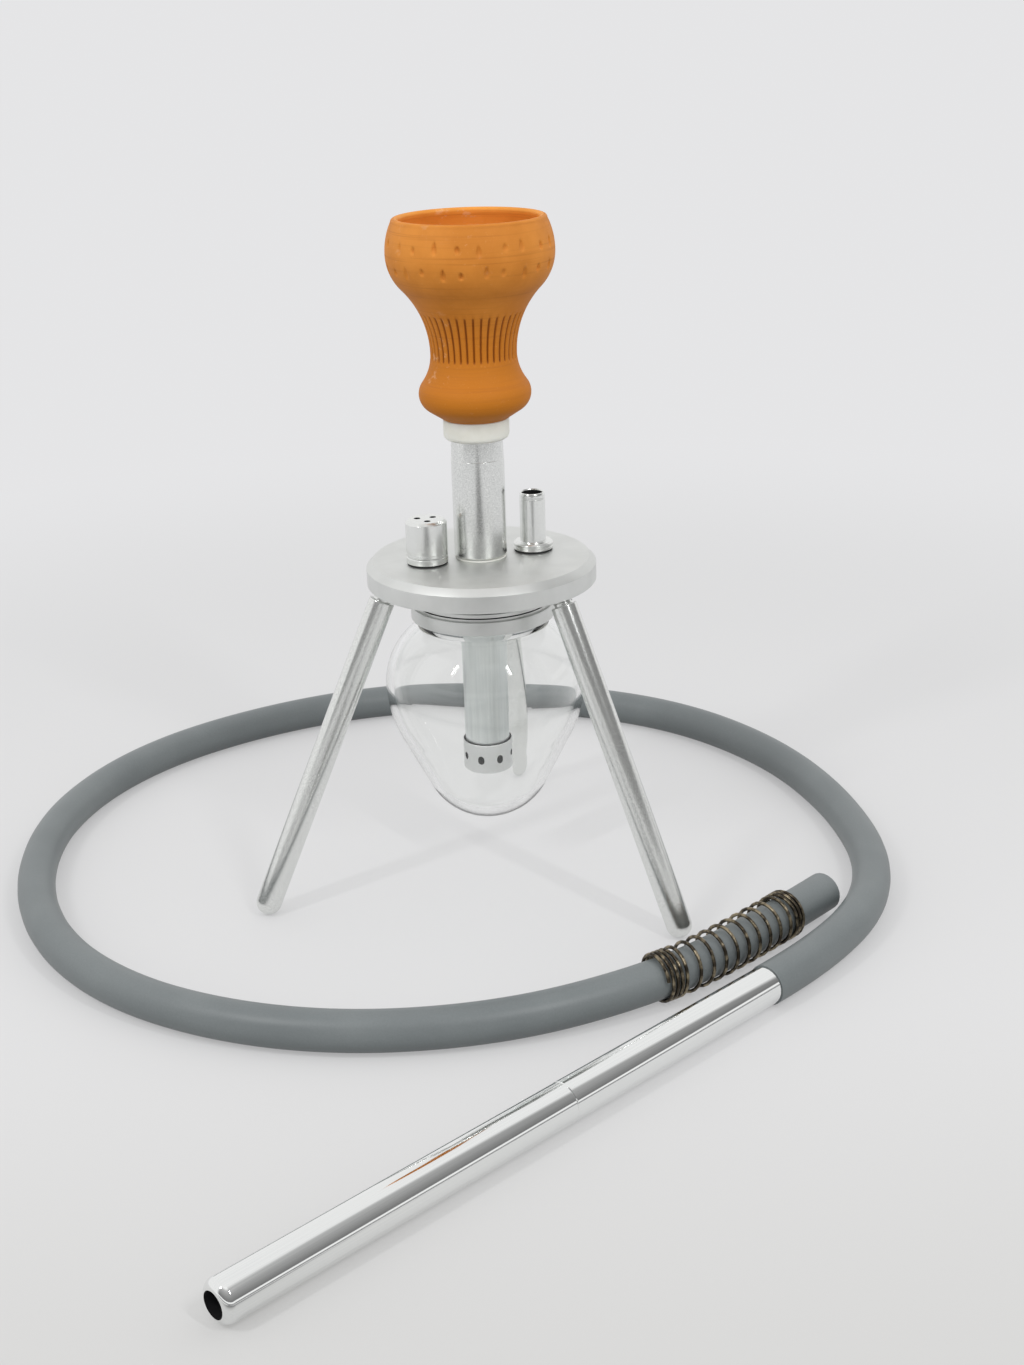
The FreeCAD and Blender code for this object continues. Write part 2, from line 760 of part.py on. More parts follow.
def downstem():
    outline = [
        (stem_bore, BASE),
        (diffuser_thread, BASE),
        (diffuser_thread, s.diffuser_thread_length),
        (s.downstem_radius, s.diffuser_thread_length),
        (s.downstem_radius, downstem_length),
        (nipple_hole, downstem_length),
        (nipple_hole, downstem_length - socket_depth),
        (stem_bore, downstem_length - socket_depth),
    ]
    return keep(turned("downstem", outline, downstem_seat), "downstem")


def diffuser():
    bore = diffuser_thread + s.thread_clearance
    radius = s.downstem_radius + s.diffuser_ledge
    outline = [
        (ON_AXIS, BASE),
        (radius - s.diffuser_chamfer, BASE),
        (radius, s.diffuser_chamfer),
        (radius, s.diffuser_height),
        (bore, s.diffuser_height),
        (bore, s.diffuser_floor),
        (ON_AXIS, s.diffuser_floor),
    ]
    cup = turned("diffuser", outline, diffuser_seat, facing=s.diffuser_facing)
    drilled(cup, "XZ_Plane", ON_AXIS, s.diffuser_hole_height, s.diffuser_hole_radius, s.diffuser_holes)
    return keep(cup, "diffuser")


downstem()
diffuser()


# Hose: straight runs joined by arcs as large as the runs allow
def hose_points():
    lying = hose_radius.number
    raised = (lying + s.spring_clearance.number + 2 * s.spring_wire_radius.number
              - s.hose_sink.number + s.spring_floor_gap.number)
    first_raised = len(HOSE_ROUTE) - RAISED_POINTS
    return [FreeCAD.Vector(across, back, raised if index >= first_raised else lying)
            for index, (across, back) in enumerate(HOSE_ROUTE)]


def hose_path():
    points = hose_points()
    edges = []
    radii = []
    start = points[0]
    for before, corner, after in zip(points, points[1:], points[2:]):
        way_in = corner - before
        way_out = after - corner
        cut = BEND_SHARE * min(way_in.Length, way_out.Length)
        half_turn = way_in.getAngle(way_out) / 2
        bend_start = corner - way_in.normalize() * cut
        bend_end = corner + way_out.normalize() * cut
        radius = cut / math.tan(half_turn)
        inward = ((bend_start + bend_end) * 0.5 - corner).normalize()
        middle = corner + inward * (radius / math.cos(half_turn) - radius)
        edges.append(Part.LineSegment(start, bend_start).toShape())
        edges.append(Part.Arc(bend_start, middle, bend_end).toShape())
        radii.append(radius)
        start = bend_end
    edges.append(Part.LineSegment(start, points[-1]).toShape())
    print("hose bend radii:", [round(radius) for radius in radii])
    return Part.Wire(edges)


def tube_along(path, radius):
    first = path.Edges[0]
    start = first.valueAt(first.FirstParameter)
    way = first.tangentAt(first.FirstParameter)
    section = Part.Wire(Part.Circle(start, way, radius).toShape())
    return path.makePipeShell([section], True, False)


def hose():
    path = hose_path()
    shape = tube_along(path, hose_radius.number).cut(tube_along(path, s.hose_bore_radius.number))
    section = math.pi * (hose_radius.number ** 2 - s.hose_bore_radius.number ** 2)
    print("hose length:", round(path.Length, 1), "volume over section times length:",
          round(shape.Volume / (section * path.Length), 5))
    tube = doc.addObject("Part::Feature", "hose")
    tube.Shape = shape
    tube.Placement = FreeCAD.Placement()
    keep(tube, "hose")
    return path


# Spring: one wire wound round the hose near its free end, close at both ends and open between
def spring_pitch(turn):
    opens = s.spring_close_turns.number
    closes = opens + s.spring_open_turns.number
    return s.spring_open_pitch.number if opens <= turn < closes else s.spring_close_pitch.number


def point_from_end(path, distance):
    """Point and direction on a path, a distance back from its far end."""
    for edge in reversed(path.Edges):
        if distance <= edge.Length:
            place = edge.getParameterByLength(edge.Length - distance)
            return edge.valueAt(place), edge.tangentAt(place)
        distance -= edge.Length
    raise RuntimeError("the spring is longer than the hose")


def spring_nodes(path, radius, steps):
    """Points of the wire's middle line, a fixed number to each turn."""
    turns = s.spring_close_turns.number + s.spring_open_turns.number + s.spring_last_turns.number
    up = FreeCAD.Vector(0, 0, 1)
    nodes = []
    distance = s.spring_from_end.number
    for step in range(round(turns * steps) + 1):
        middle, way = point_from_end(path, distance)
        across = up.cross(way).normalize()
        angle = 2 * math.pi * step / steps
        lift = up * (s.hose_sink.number + radius * math.sin(angle))
        nodes.append(middle + across * (radius * math.cos(angle)) + lift)
        distance += spring_pitch(step / steps) / steps
    return nodes


def half_arc(start, corner, end):
    """The arc that leaves start towards corner and reaches end, where both lie as far from corner."""
    middle = (start + end) * 0.5
    base = (end - start).Length / 2
    bend = (corner - start).getAngle(end - start)
    peak = middle + (corner - middle).normalize() * (base * math.tan(bend / 2))
    return Part.Arc(start, peak, end).toShape()


def biarc(start, way_in, end, way_out):
    """Two arcs that meet smoothly and leave and arrive in the given directions."""
    gap = end - start
    ways = way_in + way_out
    spread = 2 * (1 - way_in.dot(way_out))
    reach = (math.sqrt(gap.dot(ways) ** 2 + spread * gap.dot(gap)) - gap.dot(ways)) / spread
    first = start + way_in * reach
    last = end - way_out * reach
    join = (first + last) * 0.5
    return [half_arc(start, first, join), half_arc(join, last, end)]


def hose_spring(path):
    wire_radius = s.spring_wire_radius.number
    radius = hose_radius.number + s.spring_clearance.number + wire_radius
    fine = 24
    steps = 2
    close = spring_nodes(path, radius, fine)
    nodes = close[::fine // steps]
    ways = []
    for index in range(0, len(close), fine // steps):
        before = close[max(index - 1, 0)]
        after = close[min(index + 1, len(close) - 1)]
        ways.append((after - before).normalize())
    edges = []
    for start, way_in, end, way_out in zip(nodes, ways, nodes[1:], ways[1:]):
        edges += biarc(start, way_in, end, way_out)
    line = Part.Wire(edges)
    gaps = [(one - other).Length for index, one in enumerate(close)
            for other in close[index + fine // 2:]]
    print("spring least gap to itself:", round(min(gaps) - 2 * wire_radius, 2))
    shape = tube_along(line, wire_radius)
    section = math.pi * wire_radius ** 2
    print("spring volume over section times length:", round(shape.Volume / (section * line.Length), 5))
    coil = doc.addObject("Part::Feature", "hose_spring")
    coil.Shape = shape
    coil.Placement = FreeCAD.Placement()
    keep(coil, "hose_spring")


# Mouthpiece: two polished tubes screwed end to end; the rear one ends in a ridged barb inside the hose
def mouthpiece():
    bore = s.hose_bore_radius - s.barb_wall
    screw = bore + s.mouthpiece_screw_wall
    socket = screw + s.thread_clearance
    radius = socket + s.mouthpiece_socket_wall

    hose_end, next_point = hose_points()[:2]
    run = (next_point - hose_end).normalize()
    total = s.mouthpiece_rear_length.number + s.mouthpiece_front_length.number
    dip = (hose_radius.number - radius.number) / total
    forward = (run * -1 - FreeCAD.Vector(0, 0, dip)).normalize()
    barb_end = hose_end - forward * s.barb_length.number

    ridge = s.hose_bore_radius + s.barb_ridge
    shoulder = s.barb_length
    seam = shoulder + s.mouthpiece_rear_length
    socket_floor = seam - s.mouthpiece_screw_length - s.mouthpiece_screw_spare
    rear = [(bore, BASE), (s.hose_bore_radius, BASE)]
    for step in range(1, s.barb_ridges.number + 1):
        crest = s.barb_length * step / (s.barb_ridges + 1)
        rear += [(ridge, crest), (s.hose_bore_radius, crest)]
    rear += [
        (s.hose_bore_radius, shoulder),
        (radius, shoulder),
        (radius, seam - s.mouthpiece_seam),
        (radius - s.mouthpiece_seam, seam),
        (socket, seam),
        (socket, socket_floor),
        (bore, socket_floor),
    ]
    tube = turned("mouthpiece_rear", rear)
    tube.Placement = along(barb_end, forward)
    keep(tube, "mouthpiece_rear")

    body = s.mouthpiece_screw_length
    tip = body + s.mouthpiece_front_length
    front = [
        (bore, BASE),
        (screw, BASE),
        (screw, body),
        (radius - s.mouthpiece_seam, body),
        (radius, body + s.mouthpiece_seam),
        (radius, tip - s.nose_length),
        (bore, tip, "left", s.nose_round),
    ]
    nose = turned("mouthpiece_front", front)
    nose.Placement = along(barb_end + forward * (seam.number - body.number), forward)
    keep(nose, "mouthpiece_front")


hose_line = hose()
hose_spring(hose_line)
mouthpiece()

# Every feature has to be sound before any piece is written.
doc.recompute()
for thing in doc.Objects:
    if "Invalid" in thing.State or "Error" in thing.State:
        raise RuntimeError(f"{thing.Label} failed: {thing.State}")
for piece in subparts:
    if piece.Shape.isNull() or not piece.Shape.isValid():
        raise RuntimeError(f"{piece.Label} has no sound shape")
os.makedirs("parts", exist_ok=True)
for piece in subparts:
    piece.Shape.exportStep(f"parts/{piece.Label}.step")
    print(piece.Label, len(piece.Shape.Solids), round(piece.Shape.Volume / 1000, 3), "cm3")
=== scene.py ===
import math

import bpy
from mathutils import Matrix, Vector


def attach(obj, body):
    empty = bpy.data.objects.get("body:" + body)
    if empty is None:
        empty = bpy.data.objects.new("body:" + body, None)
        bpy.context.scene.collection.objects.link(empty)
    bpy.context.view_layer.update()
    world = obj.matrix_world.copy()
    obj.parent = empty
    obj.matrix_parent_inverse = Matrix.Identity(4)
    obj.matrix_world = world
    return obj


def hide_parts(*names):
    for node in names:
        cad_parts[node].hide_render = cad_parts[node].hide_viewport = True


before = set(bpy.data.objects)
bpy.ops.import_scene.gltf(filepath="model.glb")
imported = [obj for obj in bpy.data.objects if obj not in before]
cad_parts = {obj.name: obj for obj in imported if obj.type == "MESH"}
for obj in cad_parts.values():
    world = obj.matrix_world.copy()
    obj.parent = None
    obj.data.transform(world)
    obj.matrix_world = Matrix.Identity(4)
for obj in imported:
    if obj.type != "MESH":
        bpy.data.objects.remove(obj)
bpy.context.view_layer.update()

# Top plate: a turned aluminium disc with a chamfered rim, clear anodised to a fine matte.
# Its boss and threaded spigot underneath carry the vase, and everything else is screwed into it.
MM = 0.001


def rounded(outline, steps=4):
    """The outline of (radius, height[, round]) points, with each round corner drawn as a short arc."""
    points = []
    for index, (across, up, *radius) in enumerate(outline):
        corner = Vector((across, up))
        if not radius:
            points.append(corner)
            continue
        way_in = (corner - Vector(outline[index - 1][:2])).normalized()
        way_out = (Vector(outline[index + 1][:2]) - corner).normalized()
        bend = way_in.angle(way_out)
        inward = (way_out - way_in * way_in.dot(way_out)).normalized()
        centre = corner - way_in * radius[0] * math.tan(bend / 2) + inward * radius[0]
        for step in range(steps + 1):
            angle = bend * step / steps
            points.append(centre + (way_in * math.sin(angle) - inward * math.cos(angle)) * radius[0])
    return points


def turn(name, outline, steps=128, smooth=38):
    """Draw an outline in millimetres, point by point, and spin it about the upright axis as on a lathe."""
    bpy.ops.object.select_all(action="DESELECT")
    bpy.ops.mesh.primitive_circle_add(vertices=3, radius=MM)
    piece = bpy.context.object
    piece.name = name
    piece.data.name = name
    bpy.ops.object.mode_set(mode="EDIT")
    bpy.ops.mesh.merge(type="CENTER")
    here = Vector((0, 0, 0))
    for index, (across, up) in enumerate(rounded(outline)):
        there = Vector((across, 0, up)) * MM
        if index == 0:
            bpy.ops.transform.translate(value=there)
        else:
            bpy.ops.mesh.extrude_region_move(TRANSFORM_OT_translate={"value": there - here})
        here = there
    bpy.ops.mesh.select_all(action="SELECT")
    bpy.ops.mesh.remove_doubles(threshold=1e-7)
    bpy.ops.mesh.spin(steps=steps, angle=2 * math.pi, center=(0, 0, 0), axis=(0, 0, 1))
    bpy.ops.mesh.select_all(action="SELECT")
    bpy.ops.mesh.remove_doubles(threshold=1e-6)
    bpy.ops.mesh.normals_make_consistent(inside=False)
    bpy.ops.object.mode_set(mode="OBJECT")
    bpy.ops.object.shade_smooth_by_angle(angle=math.radians(smooth))
    return piece


class Wire:
    """A socket in a material. Arithmetic on it adds Math nodes, and node() adds any other kind."""

    def __init__(self, tree, socket=None):
        self.tree = tree
        self.socket = socket

    def node(self, kind, settings=None, inputs=None, output=0):
        made = self.tree.nodes.new("ShaderNode" + kind)
        for name, value in (settings or {}).items():
            if name == "stops":
                ramp = made.color_ramp.elements
                while len(ramp) < len(value):
                    ramp.new(1)
                for stop, (place, colour) in zip(ramp, value):
                    stop.position = place
                    stop.color = colour
            else:
                setattr(made, name, value)
        self.fill(made, inputs or {})
        return Wire(self.tree, made.outputs[output])

    def fill(self, made, inputs):
        for name, value in inputs.items():
            if isinstance(value, Wire):
                self.tree.links.new(value.socket, made.inputs[name])
            else:
                made.inputs[name].default_value = value

    def maths(self, operation, first, second=0.0):
        return self.node("Math", {"operation": operation}, {0: first, 1: second})

    def __add__(self, other):
        return self.maths("ADD", self, other)

    def __sub__(self, other):
        return self.maths("SUBTRACT", self, other)

    def __rsub__(self, other):
        return self.maths("SUBTRACT", other, self)

    def __mul__(self, other):
        return self.maths("MULTIPLY", self, other)

    __radd__ = __add__
    __rmul__ = __mul__

    def ramp(self, low, high):
        """0 where the value is at low, 1 at high, and smooth between."""
        return self.node("MapRange", {"interpolation_type": "SMOOTHSTEP"}, {0: self, 1: low, 2: high})

    def blend(self, first, second):
        """The first colour where the value is 0 and the second where it is 1."""
        return self.node("Mix", {"data_type": "RGBA"}, {0: self, 6: first, 7: second}, 2)

    def noise(self, scale, detail=3.0, roughness=0.5):
        return self.node("TexNoise", None, {"Vector": self, "Scale": scale, "Detail": detail,
                                            "Roughness": roughness})

    def stretched(self, across, along, tilt=(0, 0, 0)):
        """Place coordinates, squeezed differently across and along the upright axis after a tilt."""
        turned = self.node("Mapping", None, {"Vector": self, "Rotation": tilt})
        return turned.node("VectorMath", {"operation": "MULTIPLY"}, {0: turned, 1: (across, across, along)})

    def bump(self, height, strength):
        return self.node("Bump", None, {"Height": self, "Distance": height, "Strength": strength})


def finish(name, **constants):
    """A new material, the place on the piece as a Wire, and a call that fills the shader's sockets."""
    material = bpy.data.materials.new(name)
    material.use_nodes = True
    tree = material.node_tree
    shader = tree.nodes["Principled BSDF"]
    for socket, value in constants.items():
        shader.inputs[socket.replace("_", " ")].default_value = value
    place = Wire(tree).node("TexCoord", output=3)
    return material, place, lambda **inputs: place.fill(
        shader, {socket.replace("_", " "): value for socket, value in inputs.items()})


def fit(piece, material, body, slot, *nodes):
    """Give a piece its finish and let it ride and stand for its solids."""
    piece.data.materials.clear()
    piece.data.materials.append(material)
    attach(piece, body)
    if nodes:
        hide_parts(*nodes)


PLATE_TOP = 162.705
PLATE_UNDER = 151.705
BOSS_FOOT = 145.205
SPIGOT_FOOT = 139.705
anodised, place, paint = finish("anodised_matte", Metallic=1.0)
mottle = place.noise(90, 4)
grain = place.noise(2600, 2)
paint(Base_Color=mottle.ramp(0.3, 0.7).blend((0.70, 0.71, 0.695, 1), (0.745, 0.755, 0.74, 1)),
      Roughness=0.38 + mottle * 0.06 + grain * 0.08,
      Normal=grain.bump(0.00002, 0.25))
plate = turn("plate", [
    (7.5, PLATE_UNDER),
    (7.5, PLATE_TOP),
    (50.3, PLATE_TOP, 0.25),
    (53.4, PLATE_TOP - 3.1, 0.25),
    (53.4, PLATE_UNDER, 0.35),
    (32.4, PLATE_UNDER),
    (32.4, BOSS_FOOT, 0.2),
    (30.0, BOSS_FOOT),
    (30.0, SPIGOT_FOOT, 0.3),
    (27.5, SPIGOT_FOOT, 0.3),
    (27.5, BOSS_FOOT),
    (29.2, PLATE_UNDER),
    (7.5, PLATE_UNDER),
], steps=192)
fit(plate, anodised, "stand", "anodised_aluminium", "top_plate")

# Legs: three round aluminium bars, bead-blasted and anodised, with a full round foot.
# A threaded stud is turned on the top of each and screws into the plate's underside at a slant.
LEG_SPLAY = 24.2
LEG_CIRCLE = 46.9
LEG_RADIUS = 6.0
LEG_LENGTH = LEG_RADIUS + (PLATE_UNDER - LEG_RADIUS) / math.cos(math.radians(LEG_SPLAY))
LEG_SHOULDER = LEG_LENGTH - 4.4
STUD_RADIUS = 4.1
STUD_TOP = LEG_LENGTH + 7.5
THREAD_RADIUS = 4.68
THREAD_PITCH = 1.25
UPRIGHT = Vector((0, 0, 1))


def blasted(name, tilt):
    """Bead-blasted aluminium: a sparkling grain with fine drawn streaks along the bar."""
    material, place, paint = finish(name, Metallic=1.0)
    grain = place.noise(2000, 2, 0.6)
    streaks = place.stretched(900, 20, tilt).noise(1.0, 3)
    paint(Base_Color=grain.ramp(0.3, 0.7).blend((0.68, 0.69, 0.675, 1), (0.87, 0.88, 0.86, 1)),
          Roughness=0.17 + grain * 0.08 + streaks * 0.03,
          Normal=(grain * 0.9 + streaks * 0.1).bump(0.00005, 0.4))
    return material


def pick(piece):
    """Select one piece alone and make it the active one."""
    bpy.ops.object.select_all(action="DESELECT")
    piece.select_set(True)
    bpy.context.view_layer.objects.active = piece


def put(piece, place):
    """Move a finished piece to its place, and keep the place in its mesh."""
    piece.matrix_world = place
    pick(piece)
    bpy.ops.object.transform_apply(location=True, rotation=True, scale=True)


def apply(piece, name):
    """Make a modifier's shape part of the mesh."""
    bpy.context.view_layer.objects.active = piece
    bpy.ops.object.modifier_apply(modifier=name)


def thread(name, root, crest, foot, turns):
    """A screw thread: one tooth's outline, wound up the stud by the Screw modifier."""
    bpy.ops.object.select_all(action="DESELECT")
    bpy.ops.mesh.primitive_circle_add(vertices=3, radius=MM)
    piece = bpy.context.object
    piece.name = name
    bpy.ops.object.mode_set(mode="EDIT")
    bpy.ops.mesh.merge(type="CENTER")
    bpy.ops.transform.translate(value=Vector((root, 0, foot)) * MM)
    for across, up in ((crest - root, 0.42), (0, 0.12), (root - crest, 0.42), (0, 0.04)):
        bpy.ops.mesh.extrude_region_move(
            TRANSFORM_OT_translate={"value": Vector((across, 0, up * THREAD_PITCH)) * MM})
    bpy.ops.object.mode_set(mode="OBJECT")
    winding = piece.modifiers.new("winding", "SCREW")
    winding.axis = "Z"
    winding.screw_offset = THREAD_PITCH * MM
    winding.iterations = turns
    winding.steps = winding.render_steps = 48
    winding.use_merge_vertices = True
    winding.merge_threshold = 1e-6
    apply(piece, "winding")
    bpy.ops.object.mode_set(mode="EDIT")
    bpy.ops.mesh.select_all(action="SELECT")
    bpy.ops.mesh.normals_make_consistent(inside=False)
    bpy.ops.object.mode_set(mode="OBJECT")
    bpy.ops.object.shade_smooth_by_angle(angle=math.radians(25))
    return piece


def join(*pieces):
    """Make several pieces one, under the name of the first."""
    bpy.ops.object.select_all(action="DESELECT")
    for piece in pieces:
        piece.select_set(True)
    bpy.context.view_layer.objects.active = pieces[0]
    bpy.ops.object.join()
    return pieces[0]


bends = [math.radians(step) for step in range(0, 91, 9)]
foot_arc = [(LEG_RADIUS * math.sin(bend), LEG_RADIUS - LEG_RADIUS * math.cos(bend)) for bend in bends]
straight_leg = turn("straight_leg", foot_arc + [
    (LEG_RADIUS, LEG_SHOULDER, 0.5),
    (STUD_RADIUS, LEG_SHOULDER, 0.3),
    (STUD_RADIUS, STUD_TOP),
    (0.0, STUD_TOP),
], steps=64)
straight_leg = join(straight_leg, thread("leg_thread", STUD_RADIUS, THREAD_RADIUS, LEG_SHOULDER + 0.5, 8))
for leg_name, leg_angle in (("leg_left", 180.0), ("leg_right", 300.0), ("leg_back", 60.0)):
    bar = straight_leg.copy()
    bar.data = straight_leg.data.copy()
    bar.name = leg_name + "_bar"
    bar.data.name = leg_name + "_bar"
    bpy.context.collection.objects.link(bar)
    outward = Vector((math.cos(math.radians(leg_angle)), math.sin(math.radians(leg_angle)), 0))
    splay = math.radians(LEG_SPLAY)
    up = Vector((0, 0, math.cos(splay))) - outward * math.sin(splay)
    stand = UPRIGHT.rotation_difference(up)
    meets = outward * LEG_CIRCLE * MM + Vector((0, 0, PLATE_UNDER * MM))
    put(bar, Matrix.Translation(meets - up * LEG_LENGTH * MM) @ stand.to_matrix().to_4x4())
    tilt = tuple(stand.inverted().to_euler())
    fit(bar, blasted(leg_name + "_blasted", tilt), leg_name, "blasted_aluminium", leg_name)
bpy.data.objects.remove(straight_leg)

# Nipple and glass seal: a hollow screw through the middle of the plate, and the ring over the glass neck.
# Both are hidden once the pipe is put together, so their solids stay and only get a finish.
hidden_metal, place, paint = finish("hidden_turned_metal", Metallic=1.0)
paint(Base_Color=place.noise(200).blend((0.66, 0.67, 0.66, 1), (0.74, 0.75, 0.74, 1)),
      Roughness=0.3 + place.noise(900) * 0.1)
silicone, place, paint = finish("white_silicone", Subsurface_Weight=0.35, Subsurface_Scale=0.004,
                                Subsurface_Radius=(1.0, 0.95, 0.85), Specular_IOR_Level=0.45)
cloud = place.noise(140, 3)
paint(Base_Color=cloud.ramp(0.3, 0.7).blend((0.76, 0.76, 0.69, 1), (0.82, 0.82, 0.76, 1)),
      Roughness=0.38 + cloud * 0.12, Normal=place.noise(1800, 2).bump(0.00003, 0.2))


def coat(node, material):
    """Give a solid that stays as it is a finish of its own."""
    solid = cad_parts[node]
    solid.data.materials.clear()
    solid.data.materials.append(material)


coat("stem_nipple", hidden_metal)
coat("glass_seal", silicone)

# Stem: a thick aluminium tube, bead-blasted, with a polished chamfer at its foot.
# It screws on the nipple over a pale silicone ring, and its plain top fits inside the grommet.
STEM_FOOT = 163.505
STEM_TOP = 218.605
NECK_TOP = 250.0


def washer(name, bore, rim, foot, top, edge, steps=128):
    """A flat ring with its outer edges rounded."""
    return turn(name, [(bore, foot), (rim, foot, edge), (rim, top, edge), (bore, top), (bore, foot)], steps)


stem = turn("stem", [
    (7.55, STEM_FOOT),
    (11.0, STEM_FOOT, 0.15),
    (12.2, STEM_FOOT + 1.2, 0.25),
    (12.2, STEM_TOP - 9.1, 0.2),
    (12.05, STEM_TOP - 9.0, 0.05),
    (11.8, STEM_TOP, 0.4),
    (9.0, STEM_TOP),
    (9.0, NECK_TOP, 0.6),
    (6.5, NECK_TOP),
    (6.5, STEM_FOOT + 12.0),
    (7.55, STEM_FOOT + 12.0),
    (7.55, STEM_FOOT),
])
fit(stem, blasted("stem_blasted", (0, 0, 0)), "stem", "blasted_aluminium", "upper_stem")
stem_ring = washer("stem_ring", 7.6, 11.9, PLATE_TOP, STEM_FOOT, 0.3)
fit(stem_ring, silicone, "stand", "white_silicone", "stem_gasket")

# Grommet: a soft white silicone stopper with a thick flange and a tapered plug.
# It is pushed over the stem's neck, and the bowl sits on it by its own weight.
BOWL_FOOT = 228.005
grommet = turn("grommet", [
    (9.0, STEM_TOP),
    (15.0, STEM_TOP, 2.2),
    (15.0, BOWL_FOOT, 0.5),
    (12.7, BOWL_FOOT),
    (11.5, NECK_TOP, 0.8),
    (9.0, NECK_TOP),
    (9.0, STEM_TOP),
])
fit(grommet, silicone, "stem", "white_silicone", "bowl_grommet")

# Clay bowl: thrown and turned from terracotta, fired without a glaze, with a cup above and a socket below.
# Fine turning lines run round it, small thumb-nail dents stand in two rows, and flutes run round the waist.
FOOT = (25.4, 11.5, 8.5)
WAIST = (19.4, 29.5)
BELLY = (37.5, 74.0, 22.0)
RIM_ROUND = 32.0
RIM_RISE = 15.3
WALL = 3.0


def arc(centre, radius, start, end, steps):
    """Points on an arc between two angles in degrees."""
    return [(centre[0] + radius * math.cos(math.radians(start + (end - start) * step / steps)),
             centre[1] + radius * math.sin(math.radians(start + (end - start) * step / steps)))
            for step in range(steps + 1)]


def hollow(waist, centre, radius):
    """Radius of the waist's arc that runs smoothly into a neighbouring round."""
    rise = centre[1] - waist[1]
    out = waist[0] - centre[0]
    return (rise * rise + out * out - radius * radius) / (2 * (radius - out))


foot_centre = (FOOT[0] - FOOT[2], FOOT[1])
belly_centre = (BELLY[0] - BELLY[2], BELLY[1])
lower = hollow(WAIST, foot_centre, FOOT[2])
upper = hollow(WAIST, belly_centre, BELLY[2])
lower_centre = (WAIST[0] + lower, WAIST[1])
upper_centre = (WAIST[0] + upper, WAIST[1])
lower_angle = math.degrees(math.atan2(lower_centre[1] - foot_centre[1], lower_centre[0] - foot_centre[0]))
upper_angle = math.degrees(math.atan2(upper_centre[1] - belly_centre[1], upper_centre[0] - belly_centre[0]))
rim_centre = (BELLY[0] - RIM_ROUND, BELLY[1])
lip_angle = math.degrees(math.asin((RIM_RISE - 1.5) / RIM_ROUND))
inner_lip_angle = math.degrees(math.asin((RIM_RISE - 1.5) / (RIM_ROUND - WALL)))
lip_outer = rim_centre[0] + RIM_ROUND * math.cos(math.radians(lip_angle))
lip_inner = rim_centre[0] + (RIM_ROUND - WALL) * math.cos(math.radians(inner_lip_angle))
lip_middle = ((lip_outer + lip_inner) / 2, BELLY[1] + RIM_RISE - 1.5)
clay_outline = [(13.0, 0.0), (14.8, 0.0)]
clay_outline += arc(foot_centre, FOOT[2], -57, lower_angle, 14)
clay_outline += arc(lower_centre, lower, 180 + lower_angle, 180, 16)[1:]
clay_outline += arc(upper_centre, upper, 180, 180 + upper_angle, 22)[1:]
clay_outline += arc(belly_centre, BELLY[2], upper_angle, 0, 50)[1:]
clay_outline += arc(rim_centre, RIM_ROUND, 0, lip_angle, 24)[1:]
clay_outline += [(lip_middle[0] + (lip_outer - lip_inner) / 2 * math.cos(math.radians(step)),
                  lip_middle[1] + 1.5 * math.sin(math.radians(step))) for step in range(15, 181, 15)]
clay_outline += arc(rim_centre, RIM_ROUND - WALL, inner_lip_angle, 0, 8)[1:]
clay_outline += arc(belly_centre, BELLY[2] - WALL, 0, -90, 10)[1:]
clay_outline += [(0.0, 55.0), (0.0, 49.0), (11.0, 49.0), (11.0, 24.0), (11.8, 24.0), (13.0, 0.0)]
bowl = turn("bowl", [(across, BOWL_FOOT + up) for across, up in clay_outline], steps=540, smooth=50)

DENT_ROWS = ((307.2, 23, 0.0), (297.0, 25, 0.4))
DENT_DEEP = 0.95
DENT_LONG = 2.2
DENT_WIDE = 1.15
FLUTES = 40
FLUTE_FOOT = 255.2
FLUTE_TOP = 276.6
FLUTE_DEEP = 0.9
for vertex in bowl.data.vertices:
    spot = vertex.co / MM
    across = math.hypot(spot.x, spot.y)
    if spot.z < BOWL_FOOT + 2 or across < 17.5:
        continue
    inner = spot.z > 284 and across < BELLY[0] - 0.6 * WALL - abs(spot.z - 302) * 0.25
    if inner:
        continue
    angle = math.atan2(spot.y, spot.x)
    depth = 0.0
    for row_height, count, shift in DENT_ROWS:
        if abs(spot.z - row_height) > 4.5:
            continue
        cell = angle / (2 * math.pi) * count + shift
        number = math.floor(cell)
        wobble = math.sin(number * 2.7 + row_height) * 0.10
        side = (cell - number - 0.5 - wobble) * 2 * math.pi * across / count
        rise = spot.z - row_height - 0.8 * math.sin(number * 1.9 + row_height)
        long = DENT_LONG + 0.6 * math.sin(number * 3.3)
        wide = DENT_WIDE * (1 - 0.16 * rise)
        far = (side / wide) ** 2 + (rise / long) ** 2
        depth += (DENT_DEEP + 0.25 * math.sin(number * 1.3)) * math.exp(-2.0 * far * far)
    band = min(1.0, max(0.0, spot.z - FLUTE_FOOT)) * min(1.0, max(0.0, FLUTE_TOP - spot.z))
    if band > 0:
        wave = 0.5 + 0.5 * math.cos(angle * FLUTES)
        depth += FLUTE_DEEP * band * wave ** 4
    if depth > 0:
        vertex.co -= Vector((spot.x, spot.y, 0)).normalized() * depth * MM


